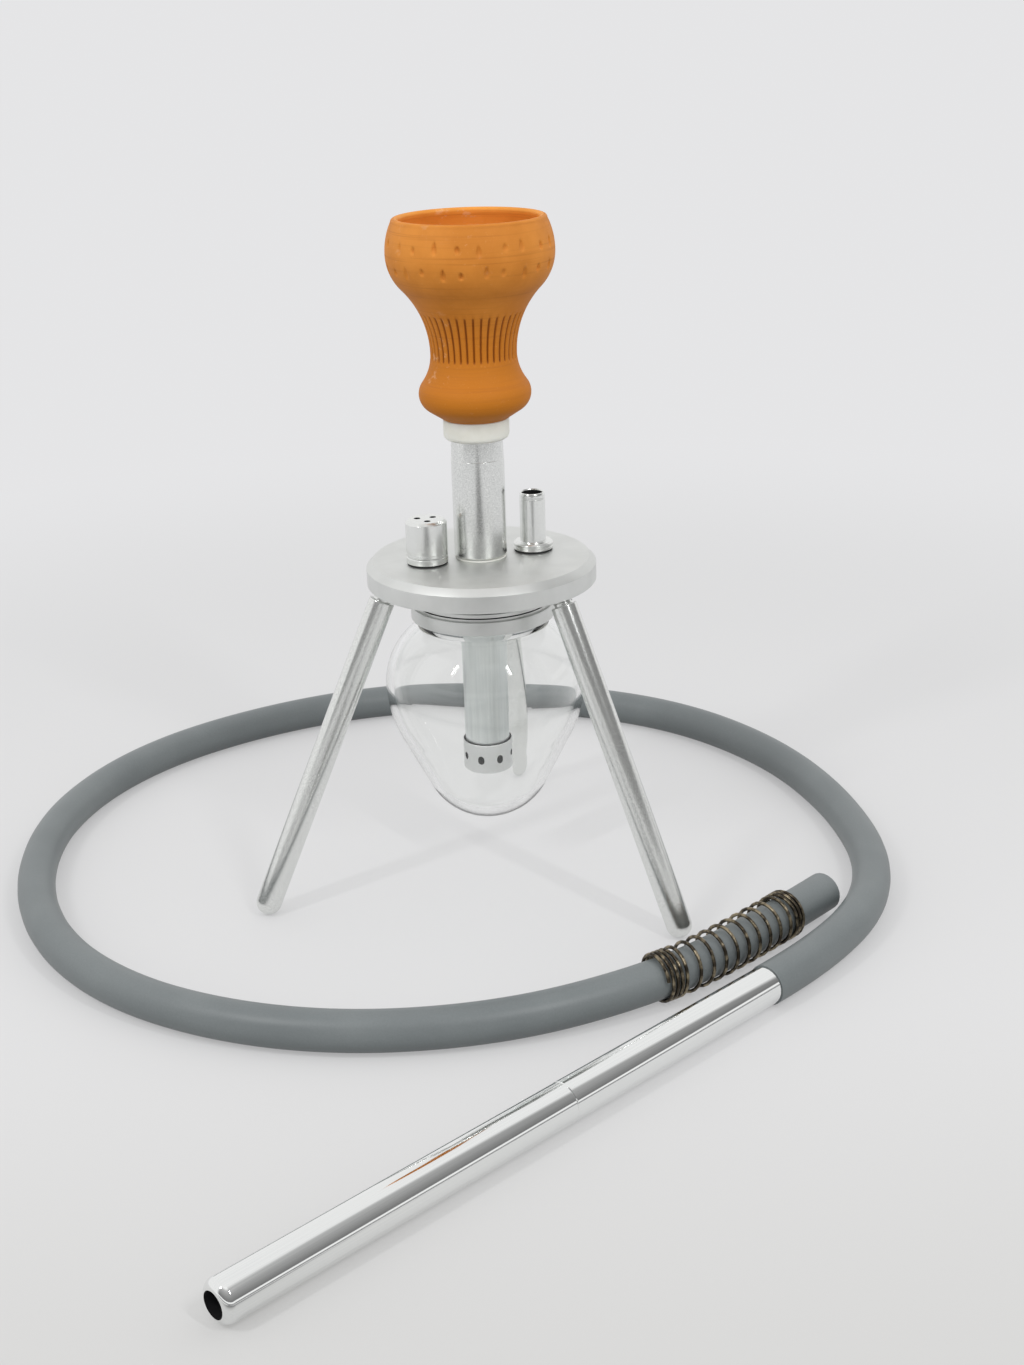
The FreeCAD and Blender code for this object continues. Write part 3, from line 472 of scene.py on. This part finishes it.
def fired_clay(name, deep, dark, light):
    """Unglazed terracotta, deeper below and two tones above, with lines, grit, scuffs and painted shade in
    the flutes' grooves.
    """
    material, place, paint = finish(name, Specular_IOR_Level=0.2)
    across, back, height = (place.node("SeparateXYZ", None, {0: place}, output) for output in range(3))
    lines = place.stretched(14, 900).noise(1.0, 4, 0.6)
    cloud = place.noise(38, 4, 0.6)
    grit = place.noise(900, 3, 0.6)
    scraped = place.stretched(170, 260).noise(1.0, 5, 0.7).ramp(0.56, 0.68)
    scuffs = scraped * place.noise(30, 2).ramp(0.52, 0.66)
    wave = height.maths("COSINE", height.maths("ARCTAN2", back, across) * FLUTES)
    over_foot = height.ramp(FLUTE_FOOT * MM, (FLUTE_FOOT + 1) * MM)
    over_top = height.ramp((FLUTE_TOP - 1) * MM, FLUTE_TOP * MM)
    flute_shade_band = over_foot * (1 - over_top)
    above = (height + cloud * 0.02).ramp(0.262, 0.308)
    body = above.blend(deep, cloud.ramp(0.3, 0.72).blend(dark, light))
    lined = (lines.ramp(0.50, 0.72) * 0.40).blend(body, (0.40, 0.125, 0.016, 1))
    gritty = (grit.ramp(0.60, 0.78) * 0.25).blend(lined, (0.72, 0.36, 0.13, 1))
    scuffed = (scuffs * 0.45).blend(gritty, (0.82, 0.52, 0.30, 1))
    # Painted shade: the flutes' grooves round the waist are painted dark brown.
    paint(Base_Color=(flute_shade_band * wave.ramp(0.45, 0.95) * 0.75).blend(scuffed, (0.20, 0.050, 0.006, 1)),
          Roughness=0.52 + grit * 0.18 - scuffs * 0.08,
          Normal=(lines * 0.6 + grit * 0.4).bump(0.00014, 0.4))
    return material


CLAY_DEEP = (0.53, 0.175, 0.012, 1)
clay = fired_clay("terracotta", CLAY_DEEP, (0.57, 0.20, 0.026, 1), (0.69, 0.258, 0.040, 1))
# Painted light: the cup's inner wall gets a lighter copy of the clay, standing in for the light that falls
# into the cup.
lit_inner_clay = fired_clay("terracotta_inside_painted_light", CLAY_DEEP, (0.70, 0.27, 0.040, 1), (0.80, 0.33, 0.058, 1))
fit(bowl, clay, "bowl", "terracotta", "clay_bowl")


def drill(piece, holes, radius, length):
    """Drill round holes, each a spot and an axis, with one Boolean modifier for all of them."""
    bits = []
    for spot, axis in holes:
        bpy.ops.object.select_all(action="DESELECT")
        way = UPRIGHT.rotation_difference(axis).to_euler()
        bpy.ops.mesh.primitive_cylinder_add(vertices=32, radius=radius * MM, depth=length * MM,
                                            location=spot * MM, rotation=way)
        bits.append(bpy.context.object)
    cutter = join(*bits)
    hole = piece.modifiers.new("hole", "BOOLEAN")
    hole.operation = "DIFFERENCE"
    hole.solver = "EXACT"
    hole.object = cutter
    apply(piece, "hole")
    bpy.data.objects.remove(cutter)
    pick(piece)
    bpy.ops.object.shade_smooth_by_angle(angle=math.radians(38))


def line_bore(piece, material, inside):
    """Give the faces inside a piece a finish of their own."""
    piece.data.materials.append(material)
    for face in piece.data.polygons:
        if inside(face.center / MM, face.normal):
            face.material_index = len(piece.data.materials) - 1


def off_axis(spot, side=0.0):
    """Distance from an upright axis that stands to one side of the middle."""
    return math.hypot(spot.x - side, spot.y)


def spokes(count, start=0.0):
    """Level directions, evenly spaced round the upright axis."""
    angles = [math.radians(start + 360 / count * step) for step in range(count)]
    return [Vector((math.cos(angle), math.sin(angle), 0)) for angle in angles]


CUP_FLOOR_MIDDLE = BOWL_FOOT + 52
drill(bowl, [(out * 6.4 + UPRIGHT * CUP_FLOOR_MIDDLE, UPRIGHT) for out in spokes(5)], 2.4, 12.0)
# Painted light: the lighter copy of the clay lines the cup's inner wall.
line_bore(bowl, lit_inner_clay,
          lambda spot, normal: spot.z > CUP_FLOOR_MIDDLE - 2 and normal.x * spot.x + normal.y * spot.y < 0)

# Purge valve: a turned aluminium base screwed into the plate, with a steel ball on its seat.
# A cap with three vent holes screws over both, and a black rubber ring seals the foot.
VALVE_SIDE = -26.0
VALVE_FOOT = 163.605
CAP_FOOT = 166.605
CAP_TOP = 183.605
SCREW_END = 155.205
turned_metal, place, paint = finish("fine_turned_metal", Metallic=1.0)
rings = place.stretched(6, 5200).noise(1.0, 2)
grain = place.noise(2200, 2)
paint(Base_Color=grain.ramp(0.3, 0.7).blend((0.77, 0.78, 0.765, 1), (0.87, 0.88, 0.86, 1)),
      Roughness=0.20 + rings * 0.05 + grain * 0.06,
      Normal=(rings * 0.25 + grain * 0.75).bump(0.00002, 0.14))
rubber, place, paint = finish("black_rubber", Specular_IOR_Level=0.4)
dust = place.noise(700, 3)
paint(Base_Color=dust.ramp(0.5, 0.8).blend((0.012, 0.012, 0.013, 1), (0.035, 0.035, 0.036, 1)),
      Roughness=0.5 + dust * 0.2, Normal=dust.bump(0.00002, 0.2))
# Painted shade: a near-black finish laid on the bores, the cap's hollow, the diffuser cup's inside and the
# collar's groove, standing in for the shade inside them.
painted_shade_bore, place, paint = finish("bore_painted_shade", Metallic=0.6)
paint(Base_Color=place.noise(400).blend((0.012, 0.012, 0.013, 1), (0.03, 0.03, 0.032, 1)),
      Roughness=0.6 + place.noise(900) * 0.2)
cap = turn("valve_cap", [
    (7.65, CAP_FOOT),
    (9.2, CAP_FOOT),
    (9.6, CAP_FOOT + 0.4, 0.12),
    (9.6, CAP_FOOT + 1.5, 0.06),
    (9.42, CAP_FOOT + 1.6),
    (9.42, CAP_FOOT + 1.85),
    (9.6, CAP_FOOT + 1.95, 0.06),
    (9.6, CAP_TOP - 1.3, 0.3),
    (8.3, CAP_TOP, 0.3),
    (0.0, CAP_TOP),
    (0.0, CAP_TOP - 2.5),
    (7.65, CAP_TOP - 2.5),
    (7.65, CAP_FOOT),
])
put(cap, Matrix.Translation((VALVE_SIDE * MM, 0, 0)))
cap_middle = Vector((VALVE_SIDE, 0, CAP_TOP))
drill(cap, [(cap_middle + out * 4.2, UPRIGHT) for out in spokes(3, 22)], 1.5, 9.0)
fit(cap, turned_metal, "purge_cap", "turned_aluminium", "purge_cap")
# Painted shade inside the cap's hollow.
line_bore(cap, painted_shade_bore,
          lambda spot, normal: off_axis(spot, VALVE_SIDE) < 7.7 and spot.z < CAP_TOP - 0.2)
valve_base = turn("valve_base", [
    (2.8, SCREW_END),
    (5.0, SCREW_END, 0.3),
    (5.0, VALVE_FOOT),
    (9.6, VALVE_FOOT, 0.2),
    (9.6, CAP_FOOT - 0.45, 0.12),
    (9.2, CAP_FOOT - 0.05),
    (7.6, CAP_FOOT - 0.05),
    (7.6, CAP_FOOT + 4.5, 0.3),
    (5.2, CAP_FOOT + 4.5),
    (2.8, CAP_FOOT + 2.1),
    (2.8, SCREW_END),
])
put(valve_base, Matrix.Translation((VALVE_SIDE * MM, 0, 0)))
fit(valve_base, turned_metal, "stand", "turned_aluminium", "purge_base")
valve_ring = washer("valve_ring", 5.05, 9.3, PLATE_TOP, VALVE_FOOT, 0.35)
put(valve_ring, Matrix.Translation((VALVE_SIDE * MM, 0, 0)))
fit(valve_ring, rubber, "stand", "black_rubber", "purge_gasket")
ball_steel, place, paint = finish("ball_steel", Metallic=1.0)
paint(Base_Color=place.noise(300).blend((0.62, 0.62, 0.63, 1), (0.68, 0.68, 0.69, 1)),
      Roughness=0.08 + place.noise(1200) * 0.05)
coat("purge_ball", ball_steel)

# Hose port: one turned aluminium piece with a flange, a plain nipple and a bright chamfered mouth.
# It screws into the plate over a black rubber ring, and the hose is pushed over the nipple.
PORT_SIDE = 26.0
PORT_TOP = 190.405
port = turn("hose_port_turned", [
    (2.8, SCREW_END),
    (5.0, SCREW_END, 0.3),
    (5.0, VALVE_FOOT),
    (9.25, VALVE_FOOT, 0.25),
    (9.25, 164.7, 0.1),
    (9.05, 164.85),
    (9.05, 165.1),
    (9.25, 165.25, 0.1),
    (9.25, 166.305, 0.2),
    (8.45, 167.105, 0.2),
    (6.0, 167.105, 0.3),
    (6.0, PORT_TOP - 3.2, 0.05),
    (5.92, PORT_TOP - 3.05),
    (5.92, PORT_TOP - 1.1, 0.2),
    (5.55, PORT_TOP - 0.15, 0.15),
    (5.2, PORT_TOP),
    (4.85, PORT_TOP - 0.5, 0.2),
    (4.85, VALVE_FOOT),
    (2.8, VALVE_FOOT),
    (2.8, SCREW_END),
])
put(port, Matrix.Translation((PORT_SIDE * MM, 0, 0)))
fit(port, turned_metal, "stand", "turned_aluminium", "hose_port")
# Painted shade down the port's bore.
line_bore(port, painted_shade_bore,
          lambda spot, normal: off_axis(spot, PORT_SIDE) < 4.9 and spot.z < PORT_TOP - 0.6)
port_ring = washer("port_ring", 5.05, 8.95, PLATE_TOP, VALVE_FOOT, 0.35)
put(port_ring, Matrix.Translation((PORT_SIDE * MM, 0, 0)))
fit(port_ring, rubber, "stand", "black_rubber", "hose_port_gasket")

# Collar: a turned aluminium band glued round the vase's neck, with a grooved ring on top.
# It screws on the plate's spigot against a black rubber ring, so the vase hangs from the plate.
COLLAR_FOOT = 134.505
COLLAR_TOP = 144.405
collar = turn("collar", [
    (30.05, COLLAR_FOOT),
    (33.7, COLLAR_FOOT, 0.5),
    (33.7, 141.005, 0.3),
    (32.4, 141.005),
    (32.4, 142.105, 0.1),
    (31.8, 142.205),
    (31.8, 142.605),
    (32.4, 142.705, 0.1),
    (32.4, COLLAR_TOP, 0.2),
    (30.05, COLLAR_TOP),
    (30.05, COLLAR_FOOT),
], steps=192)
fit(collar, anodised, "bottle", "turned_aluminium", "bottle_collar")
line_bore(collar, silicone, lambda spot, normal: off_axis(spot) < 30.3)
# Painted shade in the ring's groove, drawn as a near-black line.
line_bore(collar, painted_shade_bore, lambda spot, normal: 142.15 < spot.z < 142.66 and off_axis(spot) > 31.0)
collar_ring = washer("collar_ring", 30.1, 32.2, COLLAR_TOP + 0.035, BOSS_FOOT, 0.3, steps=192)
fit(collar_ring, rubber, "stand", "black_rubber", "collar_gasket")

# Glass vase: blown from thick clear soda glass, egg-shaped, with a round tip.
# Its neck is held in the collar; the glass is clean, with a faint green in its edges.
VASE_FOOT = 33.0
VASE_TOP = 138.5
VASE_RADIUS = 47.2
VASE_BELLY = 102.0
VASE_TAPER = 26.6
VASE_LOWER_ROUND = 57.5
VASE_SHOULDER_ROUND = 33.2
VASE_WALL = 3.2
VASE_BASE = 3.6


def vase_wall(inset, neck, bottom):
    """One wall of the vase from its tip on the axis up to its neck."""
    lower_round = VASE_LOWER_ROUND - inset
    shoulder_round = VASE_SHOULDER_ROUND - inset
    lower_middle = (VASE_RADIUS - VASE_LOWER_ROUND, VASE_BELLY)
    shoulder_middle = (VASE_RADIUS - VASE_SHOULDER_ROUND, VASE_BELLY)
    taper = math.radians(VASE_TAPER)
    taper_radius = lower_middle[0] + lower_round * math.cos(taper)
    taper_height = VASE_BELLY - lower_round * math.sin(taper)
    cone_point = taper_height - taper_radius / math.tan(taper)
    tip_round = (bottom - cone_point) * math.sin(taper) / (1 - math.sin(taper))
    shoulder = math.degrees(math.acos((neck - shoulder_middle[0]) / shoulder_round))
    wall = arc((0, bottom + tip_round), tip_round, -90, -VASE_TAPER, 28)
    wall += arc(lower_middle, lower_round, -VASE_TAPER, 0, 16)
    wall += arc(shoulder_middle, shoulder_round, 0, shoulder, 24)[1:]
    return wall + [(neck, COLLAR_FOOT), (neck, VASE_TOP)]


outside = vase_wall(0.0, 30.0, VASE_FOOT)
inside = vase_wall(VASE_WALL, 27.05, VASE_FOOT + VASE_BASE)
vase = turn("vase", outside + inside[::-1], steps=192, smooth=60)
glass, place, paint = finish("clear_glass", Transmission_Weight=1.0, IOR=1.47)
paint(Base_Color=place.noise(30, 2).blend((0.985, 0.992, 0.985, 1), (0.995, 0.998, 0.992, 1)),
      Roughness=place.noise(60).ramp(0.6, 0.9) * 0.03)
fit(vase, glass, "bottle", "clear_glass", "glass_vase")
line_bore(vase, silicone, lambda spot, normal: spot.z > COLLAR_FOOT)
vase.visible_shadow = False
vase.visible_diffuse = False

# Downstem and diffuser: a bare drawn aluminium tube that screws up on the nipple.
# A paler matte cup with eight round holes is screwed on its lower end to break up the bubbles.
DOWN_FOOT = 68.0
DIFFUSER_FOOT = 58.5
drawn_metal, place, paint = finish("drawn_metal", Metallic=1.0)
streaks = place.stretched(1200, 25).noise(1.0, 3)
cloud = place.noise(80, 3)
tone = (streaks * 0.6 + cloud * 0.4).ramp(0.3, 0.7)
paint(Base_Color=tone.blend((0.70, 0.735, 0.725, 1), (0.82, 0.85, 0.835, 1)),
      Roughness=0.30 + streaks * 0.14, Normal=streaks.bump(0.00002, 0.3))
tube = turn("downstem_tube", [
    (6.5, DOWN_FOOT),
    (9.8, DOWN_FOOT),
    (9.8, DOWN_FOOT + 3.75),
    (10.6, DOWN_FOOT + 4.15, 0.15),
    (10.6, PLATE_UNDER),
    (7.55, PLATE_UNDER),
    (7.55, PLATE_UNDER - 12.0),
    (6.5, PLATE_UNDER - 12.0),
    (6.5, DOWN_FOOT),
])
fit(tube, drawn_metal, "downstem", "bare_aluminium", "downstem")
matte_metal, place, paint = finish("matte_grained_metal", Metallic=1.0)
grain = place.noise(2400, 2)
paint(Base_Color=grain.ramp(0.3, 0.7).blend((0.72, 0.73, 0.725, 1), (0.80, 0.81, 0.80, 1)),
      Roughness=0.42 + grain * 0.12, Normal=grain.bump(0.00003, 0.4))
cup = turn("diffuser_cup", [
    (0.0, DIFFUSER_FOOT),
    (11.0, DIFFUSER_FOOT, 0.3),
    (11.8, DIFFUSER_FOOT + 0.8, 0.3),
    (11.8, DIFFUSER_FOOT + 13.5, 0.25),
    (9.85, DIFFUSER_FOOT + 13.5),
    (9.85, DIFFUSER_FOOT + 2.0),
    (0.0, DIFFUSER_FOOT + 2.0),
])
drill(cup, [(out * 11.0 + UPRIGHT * (DIFFUSER_FOOT + 6.5), out) for out in spokes(8, 9.4)], 1.55, 6.0)
fit(cup, matte_metal, "diffuser", "bare_aluminium", "diffuser")
# Painted shade inside the diffuser cup.
line_bore(cup, painted_shade_bore, lambda spot, normal: off_axis(spot) < 11.3 and spot.z > DIFFUSER_FOOT + 1.0)

# Hose: soft-touch grey silicone tube, 18 mm outside and 12 mm inside, lying in one loose loop on the floor.
# It is pushed over the mouthpiece's barb at one end, and its other end is cut off square and bare.
HOSE_ROUTE = [
    (65, -167), (117, -144), (164, -92), (185, -17), (186, 62), (159, 137), (101, 192), (27, 227), (-54, 227),
    (-134, 198), (-191, 139), (-217, 61), (-214, -17), (-182, -82), (-124, -131), (-51, -153), (20, -150),
    (76, -129), (128, -102),
]
HOSE_RADIUS = 9.0
HOSE_WALL = 3.0
FREE_END_LIFT = 10.8


def to_mesh(drawing):
    """Turn a drawn curve into a mesh piece."""
    pick(drawing)
    bpy.ops.object.convert(target="MESH")
    return bpy.context.object


route = bpy.data.curves.new("hose_route", "CURVE")
route.dimensions = "3D"
line = route.splines.new("NURBS")
line.points.add(len(HOSE_ROUTE) - 1)
for index, (across, back) in enumerate(HOSE_ROUTE):
    lift = FREE_END_LIFT if index >= len(HOSE_ROUTE) - 3 else HOSE_RADIUS
    line.points[index].co = (across * MM, back * MM, lift * MM, 1)
line.order_u = 3
line.use_endpoint_u = True
line.resolution_u = 24
guide = bpy.data.objects.new("hose_guide", route)
bpy.context.collection.objects.link(guide)
bpy.context.view_layer.update()
drawn = bpy.data.meshes.new_from_object(guide)
hose_line = [vertex.co.copy() for vertex in drawn.vertices]
bpy.data.meshes.remove(drawn)
route.bevel_depth = HOSE_RADIUS * MM
route.bevel_resolution = 10
hose = to_mesh(guide)
hose.name = "hose_tube"
bpy.ops.object.mode_set(mode="EDIT")
bpy.ops.mesh.select_all(action="SELECT")
bpy.ops.mesh.remove_doubles(threshold=1e-6)
bpy.ops.mesh.normals_make_consistent(inside=False)
bpy.ops.object.mode_set(mode="OBJECT")
wall = hose.modifiers.new("wall", "SOLIDIFY")
wall.thickness = HOSE_WALL * MM
wall.offset = -1
wall.use_rim = True
apply(hose, "wall")
bpy.ops.object.shade_smooth_by_angle(angle=math.radians(50))
grey_silicone, place, paint = finish("grey_silicone", Specular_IOR_Level=0.5)
cloud = place.noise(25, 4)
dust = place.noise(1100, 3, 0.6)
tone = (cloud * 0.6 + dust * 0.4).ramp(0.3, 0.75)
paint(Base_Color=tone.blend((0.150, 0.168, 0.172, 1), (0.185, 0.205, 0.208, 1)),
      Roughness=0.36 + dust * 0.12, Normal=dust.bump(0.00004, 0.25))
fit(hose, grey_silicone, "hose_set", "grey_silicone", "hose")

# Spring: bronze-plated steel wire wound round the hose near its bare end, close at its ends and open between.
# It stops the soft hose from kinking there, grips it lightly and can be pushed along it.
SPRING_FROM_END = 30.0
SPRING_TURNS = ((3.0, 2.3), (9.5, 7.3), (4.0, 2.3))
SPRING_RADIUS = 10.55
SPRING_RISE = 0.6
WIRE_RADIUS = 0.8
STEPS = 24
lengths = [0.0]
for before, after in zip(hose_line[::-1], hose_line[-2::-1]):
    lengths.append(lengths[-1] + (after - before).length)


def from_free_end(distance):
    """Point and direction on the hose's middle line, a distance in metres from its bare end."""
    for index, (near, far) in enumerate(zip(lengths, lengths[1:])):
        if far >= distance:
            start = hose_line[-1 - index]
            end = hose_line[-2 - index]
            return start.lerp(end, (distance - near) / (far - near)), (start - end).normalized()


coil = []
distance = SPRING_FROM_END * MM
angle = 0.0
for turns, pitch in SPRING_TURNS:
    for step in range(round(turns * STEPS)):
        middle, way = from_free_end(distance)
        across = UPRIGHT.cross(way).normalized()
        coil.append(middle + across * SPRING_RADIUS * MM * math.cos(angle)
                    + UPRIGHT * (SPRING_RISE + SPRING_RADIUS * math.sin(angle)) * MM)
        distance += pitch / STEPS * MM
        angle += 2 * math.pi / STEPS
winding = bpy.data.curves.new("spring_wire", "CURVE")
winding.dimensions = "3D"
wire = winding.splines.new("POLY")
wire.points.add(len(coil) - 1)
for point, spot in zip(wire.points, coil):
    point.co = (*spot, 1)
winding.bevel_depth = WIRE_RADIUS * MM
winding.bevel_resolution = 4
winding.use_fill_caps = True
spring = bpy.data.objects.new("spring", winding)
bpy.context.collection.objects.link(spring)
spring = to_mesh(spring)
bpy.ops.object.shade_smooth_by_angle(angle=math.radians(50))
bronze, place, paint = finish("antique_bronze", Metallic=1.0)
wear = place.noise(260, 4)
paint(Base_Color=wear.ramp(0.42, 0.66).blend((0.055, 0.045, 0.033, 1), (0.34, 0.285, 0.195, 1)),
      Roughness=0.22 + wear * 0.2, Normal=place.noise(1500, 2).bump(0.00003, 0.3))
fit(spring, bronze, "hose_set", "bronze_wire", "hose_spring")

# Mouthpiece: two lengths of aluminium tube, polished to a mirror and screwed end to end at a fine seam.
# The rear one ends in a barb inside the hose; the front one has a rounded nose with an open bore.
MOUTH_FORWARD = Vector((-0.91453, -0.40451, -0.00174)).normalized()
HOSE_END = Vector((*HOSE_ROUTE[0], HOSE_RADIUS)) * MM
REAR = 123.0
FRONT = 164.0
TIP = REAR + FRONT
BARB_END = -24.0
MOUTH_RADIUS = 8.5
MOUTH_BORE = 5.25
mouth_lean = UPRIGHT.rotation_difference(MOUTH_FORWARD)
mouth_place = Matrix.Translation(HOSE_END) @ mouth_lean.to_matrix().to_4x4()
mouth_tilt = tuple(mouth_lean.inverted().to_euler())
polished, place, paint = finish("mirror_polish", Metallic=1.0)
draw_lines = place.stretched(2600, 12, mouth_tilt).noise(1.0, 3)
smears = place.noise(35, 4).ramp(0.45, 0.75)
paint(Base_Color=draw_lines.ramp(0.3, 0.7).blend((0.85, 0.86, 0.855, 1), (0.89, 0.90, 0.89, 1)),
      Roughness=0.05 + smears * 0.05 + draw_lines * 0.02,
      Normal=draw_lines.bump(0.000005, 0.08))
rear = turn("mouthpiece_rear_tube", [
    (MOUTH_BORE, BARB_END),
    (6.0, BARB_END, 0.2),
    (6.0, 0.0),
    (MOUTH_RADIUS, 0.0, 0.4),
    (MOUTH_RADIUS, REAR - 0.35, 0.1),
    (8.1, REAR),
    (6.95, REAR),
    (6.95, REAR - 12.0),
    (MOUTH_BORE, REAR - 12.0),
    (MOUTH_BORE, BARB_END),
], steps=96)
put(rear, mouth_place)
fit(rear, polished, "hose_set", "polished_aluminium", "mouthpiece_rear")
nose = arc((4.33, TIP - 4.098), 4.2, 6.8, 77.35, 10)
front = turn("mouthpiece_front_tube", [
    (MOUTH_BORE, REAR - 11.5),
    (6.9, REAR - 11.5),
    (6.9, REAR),
    (8.1, REAR),
    (MOUTH_RADIUS, REAR + 0.35, 0.1),
    *nose,
    (MOUTH_BORE, TIP - 0.3),
    (MOUTH_BORE, REAR - 11.5),
], steps=96)
put(front, mouth_place)
fit(front, polished, "mouthpiece_tip", "polished_aluminium", "mouthpiece_front")


def in_mouth_bore(spot, normal):
    """True on the wall of the front length's bore, short of the polished nose."""
    reach = spot * MM - HOSE_END
    off_line = reach.cross(MOUTH_FORWARD).length
    return off_line < (MOUTH_BORE + 0.02) * MM and reach.dot(MOUTH_FORWARD) < (TIP - 0.4) * MM


# Painted shade down the front length's bore.
line_bore(front, painted_shade_bore, in_mouth_bore)

# Studio: a wide pale floor that fades into a white background, with a soft lamp on each side of the camera.
# The floor is painted darker on the side where the photographer stands (painted shade in its glow), and a
# dark patch there that only reflections see draws the dark stripe on every metal bar.
BACKDROP = (0.785, 0.785, 0.795, 1)
CAMERA_AT = Vector((-269.3, -802.3, 415.9)) * MM
bpy.ops.object.select_all(action="DESELECT")
bpy.ops.mesh.primitive_circle_add(vertices=96, radius=30.0, fill_type="NGON", location=(0, 0, -0.0002))
floor = bpy.context.object
floor.name = "studio_floor"
bpy.ops.object.mode_set(mode="EDIT")
bpy.ops.mesh.inset(thickness=28.0)
bpy.ops.object.mode_set(mode="OBJECT")


def shade(value):
    return (value, value, value, 1)


def light_path(tree, *names):
    """1 for rays of any of the named kinds, and 0 for the others."""
    rays = tree.nodes.new("ShaderNodeLightPath")
    total = Wire(tree, rays.outputs[names[0]])
    for name in names[1:]:
        total = total.maths("MAXIMUM", total, Wire(tree, rays.outputs[name]))
    return total


paper, place, paint = finish("white_paper", Roughness=0.7, Specular_IOR_Level=0.1)
tree = paper.node_tree
seen = light_path(tree, "Is Camera Ray", "Is Glossy Ray", "Is Transmission Ray")
towards = Vector((CAMERA_AT.x, CAMERA_AT.y, 0)).normalized()
near = place.node("VectorMath", {"operation": "DOT_PRODUCT"}, {0: place, 1: towards}, 1)
aside = place.node("VectorMath", {"operation": "DOT_PRODUCT"}, {0: place, 1: towards.cross(UPRIGHT)}, 1)
paint(Base_Color=seen.blend(shade(0.36), shade(0.66)))
span = place.node("VectorMath", {"operation": "LENGTH"}, {0: place}, 1)
# Painted reflection: a dark patch on the camera's side that only glossy rays see.
dark_reflection_patch = near.ramp(0.30, 0.42) * (1 - aside.maths("ABSOLUTE", aside).ramp(0.10, 0.26))
seen_dark_reflection = dark_reflection_patch * light_path(tree, "Is Glossy Ray") * (1 - light_path(tree, "Is Transmission Ray"))
# Painted shade: the floor's glow is darker towards the camera's side.
in_front = near.ramp(0.10, 0.44) * (1 - span.ramp(0.45, 0.75))
edge = in_front.blend(BACKDROP, (0.54, 0.535, 0.515, 1))
glow = place.node("Emission", None, {"Color": seen_dark_reflection.blend(edge, shade(0.27)), "Strength": 1.0})
fade = seen_dark_reflection.maths("MAXIMUM", seen_dark_reflection, seen * (0.45 + 0.55 * span.ramp(0.4, 0.9)))
matte = Wire(tree, tree.nodes["Principled BSDF"].outputs[0])
mixed = place.node("MixShader", None, {0: fade, 1: matte, 2: glow})
tree.links.new(mixed.socket, tree.nodes["Material Output"].inputs["Surface"])
floor.data.materials.append(paper)

world = bpy.data.worlds.new("studio")
bpy.context.scene.world = world
world.use_nodes = True
tree = world.node_tree
air = Wire(tree).node("TexCoord", output=0)
rise = air.node("SeparateXYZ", None, {0: air}, 2)
facing = air.node("VectorMath", {"operation": "DOT_PRODUCT"}, {0: air, 1: (0.1, -0.995, 0.0)}, 1)
room = rise.node("ValToRGB", {"stops": [
    (0.00, shade(0.30)), (0.08, shade(0.30)), (0.10, shade(0.95)), (0.20, shade(0.95)), (0.23, shade(0.18)),
    (0.45, shade(0.26)), (0.75, shade(0.38)), (0.90, shade(0.50)), (0.97, shade(0.95))]}, {0: rise})
mirrored = facing.ramp(-0.08, 0.14).blend(shade(0.90), room)
lit = light_path(tree, "Is Glossy Ray").blend(rise.blend(shade(1.22), shade(0.76)), mirrored)
sky = light_path(tree, "Is Camera Ray", "Is Transmission Ray").blend(lit, BACKDROP)
tree.links.new(sky.socket, tree.nodes["Background"].inputs["Color"])

LAMP_AWAY = 1.2
for side, azimuth in (("left", 205), ("right", 286)):
    lamp = bpy.data.lights.new("softbox_" + side, "AREA")
    lamp.shape = "RECTANGLE"
    lamp.size = 0.03
    lamp.size_y = 0.30
    lamp.energy = 2.4
    softbox = bpy.data.objects.new("softbox_" + side, lamp)
    bpy.context.collection.objects.link(softbox)
    way = Vector((0.70 * math.cos(math.radians(azimuth)), 0.70 * math.sin(math.radians(azimuth)), 0.72))
    softbox.location = way * LAMP_AWAY + Vector((0, 0, 0.05))
    softbox.rotation_mode = "QUATERNION"
    softbox.rotation_quaternion = way.to_track_quat("Z", "Y")

FOCAL_PIXELS = 1897
PHOTO_HEIGHT = 1365
PITCH = math.radians(20.51)
ROLL = math.radians(1.80)
right = Vector((0.9432, -0.3322, 0))
level = Vector((0.3322, 0.9432, 0))
look = level * math.cos(PITCH) - Vector((0, 0, math.sin(PITCH)))
down = -level * math.sin(PITCH) - Vector((0, 0, math.cos(PITCH)))
image_x = right * math.cos(ROLL) + down * math.sin(ROLL)
image_up = right * math.sin(ROLL) - down * math.cos(ROLL)
lens = bpy.data.cameras.new("view")
lens.sensor_fit = "VERTICAL"
lens.sensor_height = 36.0
lens.lens = FOCAL_PIXELS / PHOTO_HEIGHT * 36
lens.clip_end = 100
view = bpy.data.objects.new("view", lens)
turned = Matrix((image_x, image_up, -look)).transposed()
view.matrix_world = Matrix.Translation(CAMERA_AT) @ turned.to_4x4()
bpy.context.collection.objects.link(view)
bpy.context.scene.camera = view
bpy.context.scene.view_settings.view_transform = "Standard"
